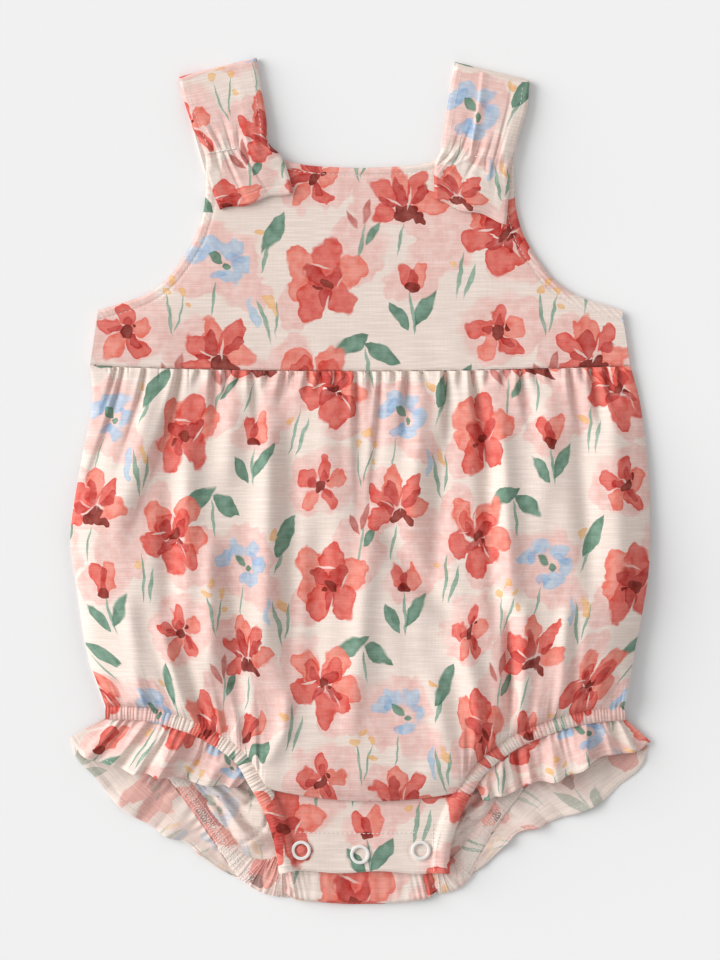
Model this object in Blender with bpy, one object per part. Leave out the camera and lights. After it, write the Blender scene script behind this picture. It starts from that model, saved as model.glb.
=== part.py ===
"""A baby's bubble romper in woven cloth, laid flat on its back.

The back panels lie on the surface, z = 0. The front lies on them: a smooth yoke,
a full bubble gathered into the waist and the leg casings, ruffles round the legs
and a snap band at the crotch. X runs across, Y from crotch to shoulder, and every
table and size below is in millimetres.
"""

import math
from collections import namedtuple

import bmesh
import bpy
from mathutils import Vector

MM = 0.001
SEAM_GAP = 0.3

# Thickness of each cloth wall; the yokes and straps are cut double.
BODY_WALL = 1.2
YOKE_WALL = 1.5
STRAP_WALL = 1.6
CASING_WALL = 1.5
RUFFLE_WALL = 1.0
FLAP_WALL = 1.2

CREAM = (0.84, 0.76, 0.68)
CORAL_CREAM = (0.85, 0.60, 0.53)
PALE_CREAM = (0.87, 0.81, 0.75)
SNAP_WHITE = (0.93, 0.93, 0.92)

# ---------------------------------------------------------------- body outline

WAIST_Y = 52.6
WAIST_BOW = 2.6          # the seam's ends lie this much nearer the shoulder
WAIST_HALF = 131.2
FRONT_WAIST_Z = 3.4
SIDE_EDGE_Z = 1.5        # the front's side edge stands just clear of the back

BodyRow = namedtuple("BodyRow", "y left right")
BODY_OUTLINE = (
    BodyRow(-160.0, -122.5, 128.0),
    BodyRow(-116.0, -123.5, 129.3),
    BodyRow(-107.6, -125.9, 130.3),
    BodyRow(-85.7, -133.2, 134.2),
    BodyRow(-49.2, -138.8, 140.5),
    BodyRow(-27.0, -141.3, 141.5),
    BodyRow(9.3, -135.6, 140.0),
    BodyRow(38.5, -130.0, 136.0),
    BodyRow(56.0, -131.2, 131.2),
)

# Fullness of the bubble over its lowest line, from the waist down to the hem.
CrownRow = namedtuple("CrownRow", "down height")
CROWN = (
    CrownRow(0.0, 0.0),
    CrownRow(0.06, 2.8),
    CrownRow(0.2, 6.0),
    CrownRow(0.45, 8.4),
    CrownRow(0.72, 9.2),
    CrownRow(0.88, 8.0),
    CrownRow(0.96, 4.6),
    CrownRow(1.0, 0.0),
)
SIDE_ROUNDNESS = 5.0
SIDE_RISE = 0.09         # share of the length over which the side edge drops at the waist
SIDE_RETURN = 0.07       # and over which it rises again to the leg casing
GATHER_TO_LEG = 1.7      # how late the cloth's threads turn in towards the leg openings
FULL_CROWN = 6.0         # the long folds show in full where the crown is this high
FOLD_RUN_IN = 0.15       # each fold fades over these shares of its length past its ends
FOLD_RUN_OUT = 0.2

WAIST_GATHERS = 38
GATHER_DEPTH = 1.3
GATHER_REACH = (0.05, 0.16)   # shares of the front's length
HEM_GATHER_DEPTH = 1.2
HEM_GATHER_REACH = 0.09

# Long soft folds of the front: a ridge has a positive depth, a trough a negative one.
Fold = namedtuple("Fold", "top_x low_x high_y low_y width depth")
FRONT_FOLDS = (
    Fold(-92.0, -116.0, 50.0, -25.0, 7.0, 3.0),
    Fold(-80.0, -100.0, 48.0, -10.0, 6.0, -2.4),
    Fold(-70.0, -76.0, 50.0, -5.0, 6.0, 2.0),
    Fold(-43.0, -48.0, 50.0, -45.0, 8.0, 2.6),
    Fold(-31.0, -33.0, 48.0, -30.0, 6.0, -2.0),
    Fold(-20.0, -17.0, 50.0, -60.0, 7.0, 2.2),
    Fold(7.0, 6.0, 50.0, -25.0, 7.0, -2.0),
    Fold(21.0, 18.0, 50.0, -55.0, 7.0, 2.4),
    Fold(42.0, 37.0, 50.0, -120.0, 7.0, 2.6),
    Fold(51.0, 52.0, 45.0, -70.0, 6.0, -2.2),
    Fold(58.0, 66.0, 50.0, -95.0, 7.0, 2.8),
    Fold(80.0, 84.0, 50.0, -15.0, 6.0, 2.0),
    Fold(102.0, 100.0, 50.0, -60.0, 8.0, 2.4),
    Fold(114.0, 119.0, 48.0, -20.0, 6.0, -1.8),
    Fold(-104.0, -92.0, -50.0, -106.0, 7.0, 2.4),
    Fold(-86.0, -72.0, -70.0, -118.0, 6.0, 2.0),
    Fold(-66.0, -52.0, -80.0, -132.0, 7.0, 2.2),
    Fold(-34.0, -28.0, -90.0, -146.0, 9.0, 1.8),
    Fold(14.0, 10.0, -90.0, -148.0, 9.0, 1.8),
    Fold(82.0, 66.0, -60.0, -130.0, 7.0, 2.4),
    Fold(104.0, 92.0, -60.0, -118.0, 7.0, 2.0),
)

# ---------------------------------------------------------------- leg openings

# Lower edge of each front casing, from the side seam to the crotch.
LegRow = namedtuple("LegRow", "at x y top_z")
LEG_EDGE = {
    "left": (
        LegRow(0.0, -123.5, -116.4, 6.0),
        LegRow(0.11, -104.0, -117.0, 8.6),
        LegRow(0.2, -90.0, -120.6, 10.0),
        LegRow(0.29, -77.0, -125.6, 10.4),
        LegRow(0.42, -61.1, -136.4, 10.4),
        LegRow(0.52, -54.3, -147.1, 10.0),
        LegRow(0.65, -46.5, -161.5, 9.2),
        LegRow(0.82, -41.4, -177.5, 8.4),
        LegRow(1.0, -39.2, -191.0, 8.0),
    ),
    "right": (
        LegRow(0.0, 128.6, -116.8, 6.0),
        LegRow(0.1, 112.0, -118.2, 8.6),
        LegRow(0.2, 95.5, -122.2, 10.0),
        LegRow(0.31, 77.0, -129.8, 10.4),
        LegRow(0.43, 62.1, -140.9, 10.4),
        LegRow(0.54, 54.6, -151.6, 10.0),
        LegRow(0.66, 48.6, -163.6, 9.2),
        LegRow(0.82, 44.2, -177.5, 8.4),
        LegRow(1.0, 43.4, -191.0, 8.0),
    ),
}
CASING_WIDTH = 6.6
CASING_ARCH = 0.8
CASING_RIBS = 45          # in each front casing
RIB_HEIGHT = 0.7
OVERHANG_FROM = 0.34      # share of the front's lower edge that is leg, on each side
OVERHANG_AT = 0.555       # where the bubble's fold meets each casing
OVERHANG_DROP = 5.5       # the fold hangs this much lower at its middle
OVERHANG_Z = 10.4

# Middle line of each back casing, which lies on the surface.
BackLegRow = namedtuple("BackLegRow", "at x y")
BACK_LEG_LINE = {
    "left": (
        BackLegRow(0.0, -118.5, -121.5),
        BackLegRow(0.14, -107.0, -130.0),
        BackLegRow(0.32, -92.3, -141.7),
        BackLegRow(0.47, -82.5, -153.9),
        BackLegRow(0.67, -70.4, -170.9),
        BackLegRow(0.84, -60.6, -185.5),
        BackLegRow(1.0, -50.4, -196.6),
    ),
    "right": (
        BackLegRow(0.0, 120.5, -122.0),
        BackLegRow(0.16, 104.0, -130.4),
        BackLegRow(0.4, 81.5, -143.6),
        BackLegRow(0.54, 71.4, -156.3),
        BackLegRow(0.71, 61.1, -170.9),
        BackLegRow(0.87, 52.8, -185.5),
        BackLegRow(1.0, 46.8, -196.3),
    ),
}
BACK_CASING_WIDTH = 6.4
BACK_CASING_TOP = 2.1
BACK_CASING_RIBS = 18     # in each back casing
BACK_RIB_HEIGHT = 0.5

# ---------------------------------------------------------------- leg ruffles

# Each leg's frill is two strips that meet at the side tip. Its root follows the casing
# at a place along it, and its hem is given by points and the height of its outer face,
# which looks up on the front strip and down on the back one.
RuffleRow = namedtuple("RuffleRow", "at place hem_x hem_y hem_z wave")
RUFFLE_FRONT = {
    "left": (
        RuffleRow(0.0, 0.5, -59.5, -149.0, 8.0, 0.1),
        RuffleRow(0.16, 0.385, -70.4, -148.4, 7.6, 0.8),
        RuffleRow(0.33, 0.29, -83.5, -145.6, 7.5, 1.3),
        RuffleRow(0.52, 0.2, -101.0, -143.4, 7.4, 1.4),
        RuffleRow(0.72, 0.11, -118.0, -140.0, 6.8, 1.2),
        RuffleRow(0.86, 0.04, -131.6, -135.2, 5.6, 0.4),
        RuffleRow(0.95, 0.01, -138.8, -129.6, 4.2, 0.0),
        RuffleRow(1.0, 0.0, -141.3, -125.6, 3.0, 0.0),
    ),
    "right": (
        RuffleRow(0.0, 0.5, 59.6, -155.6, 8.0, 0.1),
        RuffleRow(0.16, 0.4, 68.4, -153.6, 7.6, 0.8),
        RuffleRow(0.33, 0.31, 80.4, -148.0, 7.5, 1.3),
        RuffleRow(0.52, 0.21, 98.6, -144.8, 7.4, 1.4),
        RuffleRow(0.72, 0.11, 116.4, -135.6, 6.8, 1.2),
        RuffleRow(0.86, 0.04, 129.4, -132.4, 5.6, 0.4),
        RuffleRow(0.95, 0.01, 137.8, -130.0, 4.2, 0.0),
        RuffleRow(1.0, 0.0, 141.3, -127.4, 3.0, 0.0),
    ),
}
RUFFLE_BACK = {
    "left": (
        RuffleRow(0.0, 0.0, -140.9, -127.0, 0.0, 0.0),
        RuffleRow(0.09, 0.06, -135.4, -138.0, 0.0, 0.3),
        RuffleRow(0.27, 0.2, -122.4, -153.0, 0.0, 1.0),
        RuffleRow(0.5, 0.39, -104.6, -167.6, 0.0, 2.0),
        RuffleRow(0.73, 0.63, -86.4, -176.6, 0.0, 2.0),
        RuffleRow(0.88, 0.83, -72.4, -186.6, 0.0, 1.4),
        RuffleRow(1.0, 1.0, -56.6, -200.4, 0.0, 0.3),
    ),
    "right": (
        RuffleRow(0.0, 0.0, 140.9, -130.0, 0.0, 0.0),
        RuffleRow(0.09, 0.06, 133.6, -142.4, 0.0, 0.3),
        RuffleRow(0.27, 0.2, 118.6, -155.4, 0.0, 1.0),
        RuffleRow(0.5, 0.43, 97.6, -165.2, 0.0, 2.0),
        RuffleRow(0.73, 0.66, 79.0, -171.6, 0.0, 2.0),
        RuffleRow(0.88, 0.84, 67.0, -181.6, 0.0, 1.4),
        RuffleRow(1.0, 1.0, 55.6, -197.6, 0.0, 0.3),
    ),
}
RUFFLE_TUCK = 1.0         # the front strip starts this far under its casing
RUFFLE_CLEAR = 0.5        # and this much below it
RUFFLE_ROOT_Z = 0.0       # height of the back strip's lower face at its root
FRONT_WAVES = 7
BACK_WAVES = 7

# ---------------------------------------------------------------- yokes and straps

# From the side seam to the middle: where each line across the yoke starts on the
# waist seam and ends on the armhole, shoulder or neckline.
YokeRow = namedtuple("YokeRow", "at waist_x edge_x edge_y")
YOKE = (
    YokeRow(0.0, 131.2, 127.3, 82.3),
    YokeRow(0.08, 124.0, 121.5, 84.0),
    YokeRow(0.2, 112.0, 105.2, 89.6),
    YokeRow(0.29, 102.0, 94.5, 96.9),
    YokeRow(0.36, 95.0, 88.4, 104.2),
    YokeRow(0.46, 84.0, 79.6, 118.8),
    YokeRow(0.53, 73.0, 75.6, 133.4),
    YokeRow(0.6, 63.0, 75.0, 147.0),
    YokeRow(0.65, 58.0, 73.4, 156.0),
    YokeRow(0.72, 51.0, 57.0, 158.6),
    YokeRow(0.8, 44.0, 43.0, 160.2),
    YokeRow(0.84, 38.0, 37.2, 155.6),
    YokeRow(0.9, 26.0, 25.0, 152.8),
    YokeRow(1.0, 0.0, 0.0, 151.4),
)
YOKE_PUFF = 1.4
FRONT_YOKE_TOP = 3.3
BACK_YOKE_INSET = 1.2     # how much smaller the back yoke's edges lie
BACK_SHOULDER_Y = 149.0
NECK_LIMIT = 170.0        # above every edge of the front yoke

# Each strap from the fold at the shoulder to the end of its tab, by its two edges.
StrapRow = namedtuple("StrapRow", "at left_x left_y right_x right_y z pleat")
STRAP_FRONT = {
    "left": (
        StrapRow(0.0, -87.8, 193.6, -50.4, 203.0, 4.6, 0.1),
        StrapRow(0.18, -84.6, 181.0, -47.6, 188.0, 4.8, 0.3),
        StrapRow(0.35, -79.8, 168.4, -45.4, 174.4, 5.4, 1.0),
        StrapRow(0.48, -75.4, 157.8, -44.4, 163.6, 6.6, 1.4),
        StrapRow(0.58, -74.6, 150.0, -38.6, 157.6, 6.6, 1.2),
        StrapRow(0.8, -71.2, 138.8, -34.4, 147.6, 6.5, 0.7),
        StrapRow(1.0, -67.9, 130.5, -32.4, 139.6, 6.3, 0.2),
    ),
    "right": (
        StrapRow(0.0, 46.2, 200.8, 82.4, 192.0, 4.6, 0.1),
        StrapRow(0.18, 43.4, 187.0, 81.0, 180.0, 4.8, 0.3),
        StrapRow(0.35, 41.0, 172.0, 76.8, 166.0, 5.4, 1.0),
        StrapRow(0.48, 39.4, 160.2, 73.0, 153.0, 6.6, 1.4),
        StrapRow(0.58, 36.4, 154.0, 72.6, 146.4, 6.6, 1.2),
        StrapRow(0.8, 36.0, 144.6, 71.8, 134.6, 6.5, 0.7),
        StrapRow(1.0, 36.2, 135.4, 70.9, 124.4, 6.3, 0.2),
    ),
}
STRAP_FOLD_RADIUS = 2.3
STRAP_PLEATS = 5

# ---------------------------------------------------------------- crotch and snaps

CROTCH_FROM = 0.36        # share of the back's lower edge that is leg, on each side
BACK_END = 0.86           # where the crotch seam meets each back casing
BACK_TOP = 1.2
BACK_SIDE_INSET = 1.2     # how much narrower the back lies than the front
BACK_SIDE_END = -112.0    # the side seam's lower end
BACK_UPPER = 0.5          # share of the back's rows above that
BACK_CRINKLES = 24
CRINKLE_HEIGHT = 0.8
CRINKLE_FROM = 0.55
CRINKLE_FULL = 0.85
FLAP_TOP_Z = 6.8
FLAP_HIDDEN_AT = 0.53     # the band starts out of sight under the bubble's fold
FOLD_LOWEST_Y = -206.5
FOLD_HEIGHT = 3.8
EXTENSION_HALF = 37.0
EXTENSION_TAPER = 4.0
EXTENSION_TOP_Y = -169.0

Snap = namedtuple("Snap", "name x y")
SNAPS = (
    Snap("left", -28.5, -179.7),
    Snap("middle", 0.0, -181.7),
    Snap("right", 29.5, -179.7),
)
# Ring of a cap, by radius and height over its lower face.
RING_PROFILE = ((2.9, 0.0), (4.75, 0.0), (4.75, 0.55), (4.3, 1.0), (3.4, 1.0), (2.9, 0.55))
RING_SEGMENTS = 20
STUD_BORE = 0.6
STUD_RADIUS = 4.2
STUD_Z = (4.1, 5.3)
STUD_SEGMENTS = 12


# ---------------------------------------------------------------- small helpers

def mix(low, high, share):
    return low + (high - low) * share


def ease(share):
    """0 to 1 with level ends."""
    share = min(max(share, 0.0), 1.0)
    return share * share * (3.0 - 2.0 * share)


def spread(count):
    """Even places from 0 to 1."""
    return [index / (count - 1) for index in range(count)]


def smooth(rows, column, place):
    """One column, read smoothly at a place along the table's first column."""
    keys = [row[0] for row in rows]
    values = [getattr(row, column) for row in rows]
    place = min(max(place, keys[0]), keys[-1])
    cell = 0
    while cell < len(keys) - 2 and place > keys[cell + 1]:
        cell += 1

    def slope(index):
        before, after = max(index - 1, 0), min(index + 1, len(keys) - 1)
        return (values[after] - values[before]) / (keys[after] - keys[before])

    step = keys[cell + 1] - keys[cell]
    share = (place - keys[cell]) / step
    square, cube = share ** 2, share ** 3
    return ((2 * cube - 3 * square + 1) * values[cell]
            + (cube - 2 * square + share) * step * slope(cell)
            + (3 * square - 2 * cube) * values[cell + 1]
            + (cube - square) * step * slope(cell + 1))


def uneven(index, low=0.55):
    """A repeatable share between low and 1, so that gathers differ in size."""
    return mix(low, 1.0, 0.5 + 0.5 * math.sin(index * 2.4 + 0.7 * math.sin(index * 1.3)))


def material(name, colour, roughness):
    made = bpy.data.materials.get(name)
    if made is None:
        made = bpy.data.materials.new(name)
        made.use_nodes = True
        shader = made.node_tree.nodes["Principled BSDF"]
        shader.inputs["Base Color"].default_value = (*colour, 1.0)
        shader.inputs["Roughness"].default_value = roughness
        shader.inputs["Metallic"].default_value = 0.0
    return made


def add_object(name, mesh_builder, finish):
    mesh = bpy.data.meshes.new(name)
    bmesh.ops.recalc_face_normals(mesh_builder, faces=mesh_builder.faces)
    mesh_builder.to_mesh(mesh)
    mesh_builder.free()
    mesh.materials.append(finish)
    made = bpy.data.objects.new(name, mesh)
    bpy.context.scene.collection.objects.link(made)
    return made


def face_normal(surface, across, down, mirrored):
    """The outer face's normal, from small steps along the surface."""
    step = 0.004
    left, right = max(across - step, 0.0), min(across + step, 1.0)
    above, below = max(down - step, 0.0), min(down + step, 1.0)
    over = surface(right, down) - surface(left, down)
    along = surface(across, below) - surface(across, above)
    return (over.cross(along) if mirrored else along.cross(over)).normalized()


def cloth_wall(name, surface, columns, rows, wall, finish, relief=None, lowest=0.0,
               mirrored=False):
    """A closed wall of cloth between an outer face and a plain inner one.

    surface(across, down) gives the plain outer face, and relief raises its points
    along the normal. The inner face lies one wall behind, never below lowest. The
    outer face looks at whoever sees across run right and down run down, or at
    whoever sees across run left where the surface is mirrored.
    """
    builder = bmesh.new()
    outer, inner = [], []
    for down in rows:
        outer_row, inner_row = [], []
        for index, across in enumerate(columns):
            point = surface(across, down)
            normal = face_normal(surface, across, down, mirrored)
            raised = relief(index, across, down) if relief else 0.0
            behind = point - normal * wall
            behind.z = max(behind.z, lowest)
            outer_row.append(builder.verts.new((point + normal * raised) * MM))
            inner_row.append(builder.verts.new(behind * MM))
        outer.append(outer_row)
        inner.append(inner_row)
    for row in range(len(rows) - 1):
        for column in range(len(columns) - 1):
            for side in (outer, inner):
                corners = [side[row][column], side[row][column + 1],
                           side[row + 1][column + 1], side[row + 1][column]]
                builder.faces.new(corners if side is outer else corners[::-1])
    rim = ([(0, column) for column in range(len(columns))]
           + [(row, len(columns) - 1) for row in range(1, len(rows))]
           + [(len(rows) - 1, column) for column in range(len(columns) - 2, -1, -1)]
           + [(row, 0) for row in range(len(rows) - 2, 0, -1)])
    for here, there in zip(rim, rim[1:] + rim[:1]):
        builder.faces.new((outer[here[0]][here[1]], inner[here[0]][here[1]],
                           inner[there[0]][there[1]], outer[there[0]][there[1]]))
    return add_object(name, builder, finish)


class Route:
    """A plan curve read from a table, with its offsets to the body's side."""

    SAMPLES = 240

    def __init__(self, rows, inward):
        self.rows = rows
        self.inward = inward
        places = spread(self.SAMPLES)
        spots = [self.spot(place) for place in places]
        run = [0.0]
        for before, after in zip(spots, spots[1:]):
            run.append(run[-1] + (after - before).length)
        self.table = list(zip(run, places))
        self.length = run[-1]

    def spot(self, place):
        return Vector((smooth(self.rows, "x", place), smooth(self.rows, "y", place), 0.0))

    def place_at(self, share):
        """The table's place at a share of the curve's length."""
        goal = min(max(share, 0.0), 1.0) * self.length
        for (run, place), (next_run, next_place) in zip(self.table, self.table[1:]):
            if goal <= next_run:
                return mix(place, next_place, (goal - run) / (next_run - run))
        return 1.0

    def offset(self, place, distance):
        """The plan point that lies a distance to the body's side of the curve."""
        step = 0.01
        ahead = self.spot(min(place + step, 1.0)) - self.spot(max(place - step, 0.0))
        aside = Vector((-ahead.y, ahead.x, 0.0)).normalized() * self.inward
        return self.spot(place) + aside * distance


LEG = {"left": Route(LEG_EDGE["left"], 1.0), "right": Route(LEG_EDGE["right"], -1.0)}
BACK_LEG = {"left": Route(BACK_LEG_LINE["left"], 1.0),
            "right": Route(BACK_LEG_LINE["right"], -1.0)}


# ---------------------------------------------------------------- body panels

def body_span(y):
    """Middle and half of the body's width at a height up the garment."""
    left, right = smooth(BODY_OUTLINE, "left", y), smooth(BODY_OUTLINE, "right", y)
    return (left + right) / 2, (right - left) / 2


def waist_y(x):
    return WAIST_Y + WAIST_BOW * (x / WAIST_HALF) ** 2


def front_leg_hem(side, share):
    """Where the front meets a casing, from the side seam to the bubble's fold."""
    place = OVERHANG_AT * share
    spot = LEG[side].offset(place, CASING_WIDTH + SEAM_GAP)
    return Vector((spot.x, spot.y, smooth(LEG_EDGE[side], "top_z", place)))


def front_hem(across):
    """Lower edge of the front: left casing, the bubble's fold, right casing."""
    edge = min(across, 1.0 - across)
    if edge < OVERHANG_FROM:
        return front_leg_hem("left" if across < 0.5 else "right", edge / OVERHANG_FROM)
    share = (across - OVERHANG_FROM) / (1.0 - 2 * OVERHANG_FROM)
    spot = front_leg_hem("left", 1.0).lerp(front_leg_hem("right", 1.0), share)
    spot.y -= OVERHANG_DROP * math.sin(math.pi * share) ** 0.8
    spot.z = mix(spot.z, OVERHANG_Z, ease(min(share, 1.0 - share) * 5.0))
    return spot


def fold_lift(x, y):
    """What the long folds add to the front's height at one spot."""
    lift = 0.0
    for fold in FRONT_FOLDS:
        share = (fold.high_y - y) / (fold.high_y - fold.low_y)
        if -FOLD_RUN_IN < share < 1.0 + FOLD_RUN_OUT:
            line = mix(fold.top_x, fold.low_x, share)
            fade = (ease((share + FOLD_RUN_IN) / (2 * FOLD_RUN_IN))
                    * ease((1.0 + FOLD_RUN_OUT - share) / (2 * FOLD_RUN_OUT)))
            lift += fold.depth * fade * math.exp(-((x - line) / fold.width) ** 2)
    return lift


def front_body_point(across, down):
    waist_side = 2.0 * across - 1.0
    hem = front_hem(across)
    top = waist_y(waist_side * WAIST_HALF)
    y = mix(top, hem.y, down)
    hem_middle, hem_half = body_span(hem.y)
    hem_side = min(max((hem.x - hem_middle) / hem_half, -1.0), 1.0)
    side = mix(waist_side, hem_side, down ** GATHER_TO_LEG)
    middle, half = body_span(y)
    x = middle + side * half
    rounding = max(1.0 - abs(side) ** SIDE_ROUNDNESS, 0.0) ** 0.5
    level_z = mix(FRONT_WAIST_Z, hem.z, ease(down))
    lifted = max(1.0 - down / SIDE_RISE, 1.0 - (1.0 - down) / SIDE_RETURN, 0.0)
    low_z = mix(mix(SIDE_EDGE_Z, level_z, lifted), level_z, rounding)
    crown = smooth(CROWN, "height", down)
    fullness = ease(crown / FULL_CROWN)
    return Vector((x, y, low_z + (crown + fold_lift(x, y) * fullness) * rounding))


FRONT_ROWS = (0.0, 0.015, 0.04, 0.075, 0.12, 0.18, 0.26, 0.35, 0.45, 0.55, 0.65, 0.74, 0.82,
              0.89, 0.94, 0.975, 1.0)


def front_gathers(index, across, down):
    """Gathers under the waist seam and above the leg casings, uneven in length."""
    if index % 2 == 0:
        return 0.0
    reach = mix(*GATHER_REACH, uneven(index, 0.0))
    top = GATHER_DEPTH * uneven(index) * math.exp(-(down / reach) ** 2)
    hem = HEM_GATHER_DEPTH * uneven(index + 5) * math.exp(-((1.0 - down) / HEM_GATHER_REACH) ** 2)
    if down == 1.0 or OVERHANG_FROM < across < 1.0 - OVERHANG_FROM:
        hem = 0.0
    return top + hem


def make_front_body(finish):
    columns = spread(2 * WAIST_GATHERS + 1)
    cloth_wall("front_body", front_body_point, columns, FRONT_ROWS, BODY_WALL, finish,
               front_gathers, SIDE_EDGE_Z)


def back_leg_hem(side, share):
    """Where the back meets a casing, from the side seam to the crotch seam."""
    return BACK_LEG[side].offset(BACK_END * share, BACK_CASING_WIDTH / 2 + SEAM_GAP)


def back_hem(across):
    """Lower edge of the back: left casing, the crotch seam, right casing."""
    edge = min(across, 1.0 - across)
    if edge < CROTCH_FROM:
        return back_leg_hem("left" if across < 0.5 else "right", edge / CROTCH_FROM)
    share = (across - CROTCH_FROM) / (1.0 - 2 * CROTCH_FROM)
    return back_leg_hem("left", 1.0).lerp(back_leg_hem("right", 1.0), share)


def back_body_point(across, down):
    waist_side = 2.0 * across - 1.0
    hem = back_hem(across)
    top = waist_y(waist_side * WAIST_HALF) - SEAM_GAP
    y = mix(top, BACK_SIDE_END, min(down / BACK_UPPER, 1.0))
    middle, half = body_span(y)
    spot = Vector((middle + waist_side * (half - BACK_SIDE_INSET), y, BACK_TOP))
    lower = max(down - BACK_UPPER, 0.0) / (1.0 - BACK_UPPER)
    return spot.lerp(Vector((hem.x, hem.y, BACK_TOP)), lower) if lower else spot


def back_crinkle(index, across, down):
    """Soft crinkles on the inner face, above each back casing."""
    if index % 2 == 0:
        return 0.0
    share = (down - CRINKLE_FROM) / (CRINKLE_FULL - CRINKLE_FROM)
    return CRINKLE_HEIGHT * uneven(index) * ease(share)


def make_back_body(finish):
    rows = (0.0, 0.12, 0.25, 0.38, 0.5, 0.58, 0.68, 0.8, 0.9, 1.0)
    cloth_wall("back_body", back_body_point, spread(2 * BACK_CRINKLES + 1), rows, BACK_TOP,
               finish, back_crinkle)


# ---------------------------------------------------------------- casings and ruffles

def make_front_casing(side, finish):
    route = LEG[side]

    def top_face(along, across):
        place = route.place_at(along)
        spot = route.offset(place, CASING_WIDTH * across)
        spot.z = smooth(LEG_EDGE[side], "top_z", place)
        return spot

    def ribs(index, along, across):
        arch = CASING_ARCH * (1.0 - (2.0 * across - 1.0) ** 2)
        return arch + RIB_HEIGHT * uneven(index) * (index % 2)

    cloth_wall(f"leg_casing_front_{side}", top_face, spread(2 * CASING_RIBS + 1),
               (0.0, 0.5, 1.0), CASING_WALL, finish, ribs, mirrored=side == "left")


def make_back_casing(side, finish):
    route = BACK_LEG[side]

    def top_face(along, across):
        place = route.place_at(along)
        spot = route.offset(place, BACK_CASING_WIDTH * (across - 0.5))
        spot.z = BACK_CASING_TOP
        return spot

    def ribs(index, along, across):
        return BACK_RIB_HEIGHT * uneven(index) * (index % 2)

    cloth_wall(f"leg_casing_back_{side}", top_face, spread(2 * BACK_CASING_RIBS + 1),
               (0.0, 0.5, 1.0), BACK_CASING_TOP, finish, ribs, mirrored=side == "left")


def frill_point(rows, root, waves, along, across):
    """A point of a frill: along its casing, and across from its root to its hem."""
    hem = Vector([smooth(rows, f"hem_{axis}", along) for axis in "xyz"])
    spot = root.lerp(hem, across)
    phase = 2.0 * math.pi * waves * along + 0.8 * math.sin(9.0 * along)
    spot.z += smooth(rows, "wave", along) * across * (1.0 + math.sin(phase))
    return spot


def make_front_ruffle(side, finish):
    rows = RUFFLE_FRONT[side]

    def frill(along, across):
        place = smooth(rows, "place", along)
        root = LEG[side].offset(place, RUFFLE_TUCK)
        root.z = smooth(LEG_EDGE[side], "top_z", place) - CASING_WALL - RUFFLE_CLEAR
        return frill_point(rows, root, FRONT_WAVES, along, across)

    cloth_wall(f"ruffle_front_{side}", frill, spread(4 * FRONT_WAVES + 5),
               (0.0, 0.35, 0.7, 1.0), RUFFLE_WALL, finish, mirrored=side == "left")


def make_back_ruffle(side, finish):
    rows = RUFFLE_BACK[side]

    def frill(along, across):
        place = smooth(rows, "place", along)
        root = BACK_LEG[side].offset(place, -BACK_CASING_WIDTH / 2 - RUFFLE_CLEAR)
        root.z = RUFFLE_ROOT_Z
        return frill_point(rows, root, BACK_WAVES, along, across)

    cloth_wall(f"ruffle_back_{side}", frill, spread(4 * BACK_WAVES + 5),
               (0.0, 0.35, 0.7, 1.0), RUFFLE_WALL, finish, mirrored=side == "left")


# ---------------------------------------------------------------- yokes and straps

def yoke_point(across, down, inset, top_z, puff, shoulder_limit):
    """A point of a yoke: across from left to right, down from the edge to the waist."""
    up = 1.0 - down
    hand = -1.0 if across < 0.5 else 1.0
    place = 1.0 - abs(2.0 * across - 1.0)
    waist_x = smooth(YOKE, "waist_x", place)
    edge_x = max(smooth(YOKE, "edge_x", place) - inset, 0.0) if place < 1.0 else 0.0
    edge_y = min(smooth(YOKE, "edge_y", place) - inset, shoulder_limit)
    waist_x = max(waist_x - inset, 0.0)
    x = mix(waist_x, edge_x, up)
    y = mix(waist_y(waist_x) + SEAM_GAP, edge_y, up)
    round_off = math.sin(math.pi * up) * ease(place * 3.0)
    return Vector((hand * x, y, top_z + puff * round_off))


def make_front_yoke(finish):
    def face(across, down):
        return yoke_point(across, down, 0.0, FRONT_YOKE_TOP, YOKE_PUFF, NECK_LIMIT)

    cloth_wall("front_yoke", face, spread(43), (0.0, 0.2, 0.5, 0.8, 1.0), YOKE_WALL, finish,
               lowest=FRONT_YOKE_TOP - YOKE_WALL)


def make_back_yoke(finish):
    def face(across, down):
        return yoke_point(across, down, BACK_YOKE_INSET, YOKE_WALL, 0.0, BACK_SHOULDER_Y)

    cloth_wall("back_yoke", face, spread(33), (0.0, 0.5, 1.0), YOKE_WALL, finish)


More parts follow.
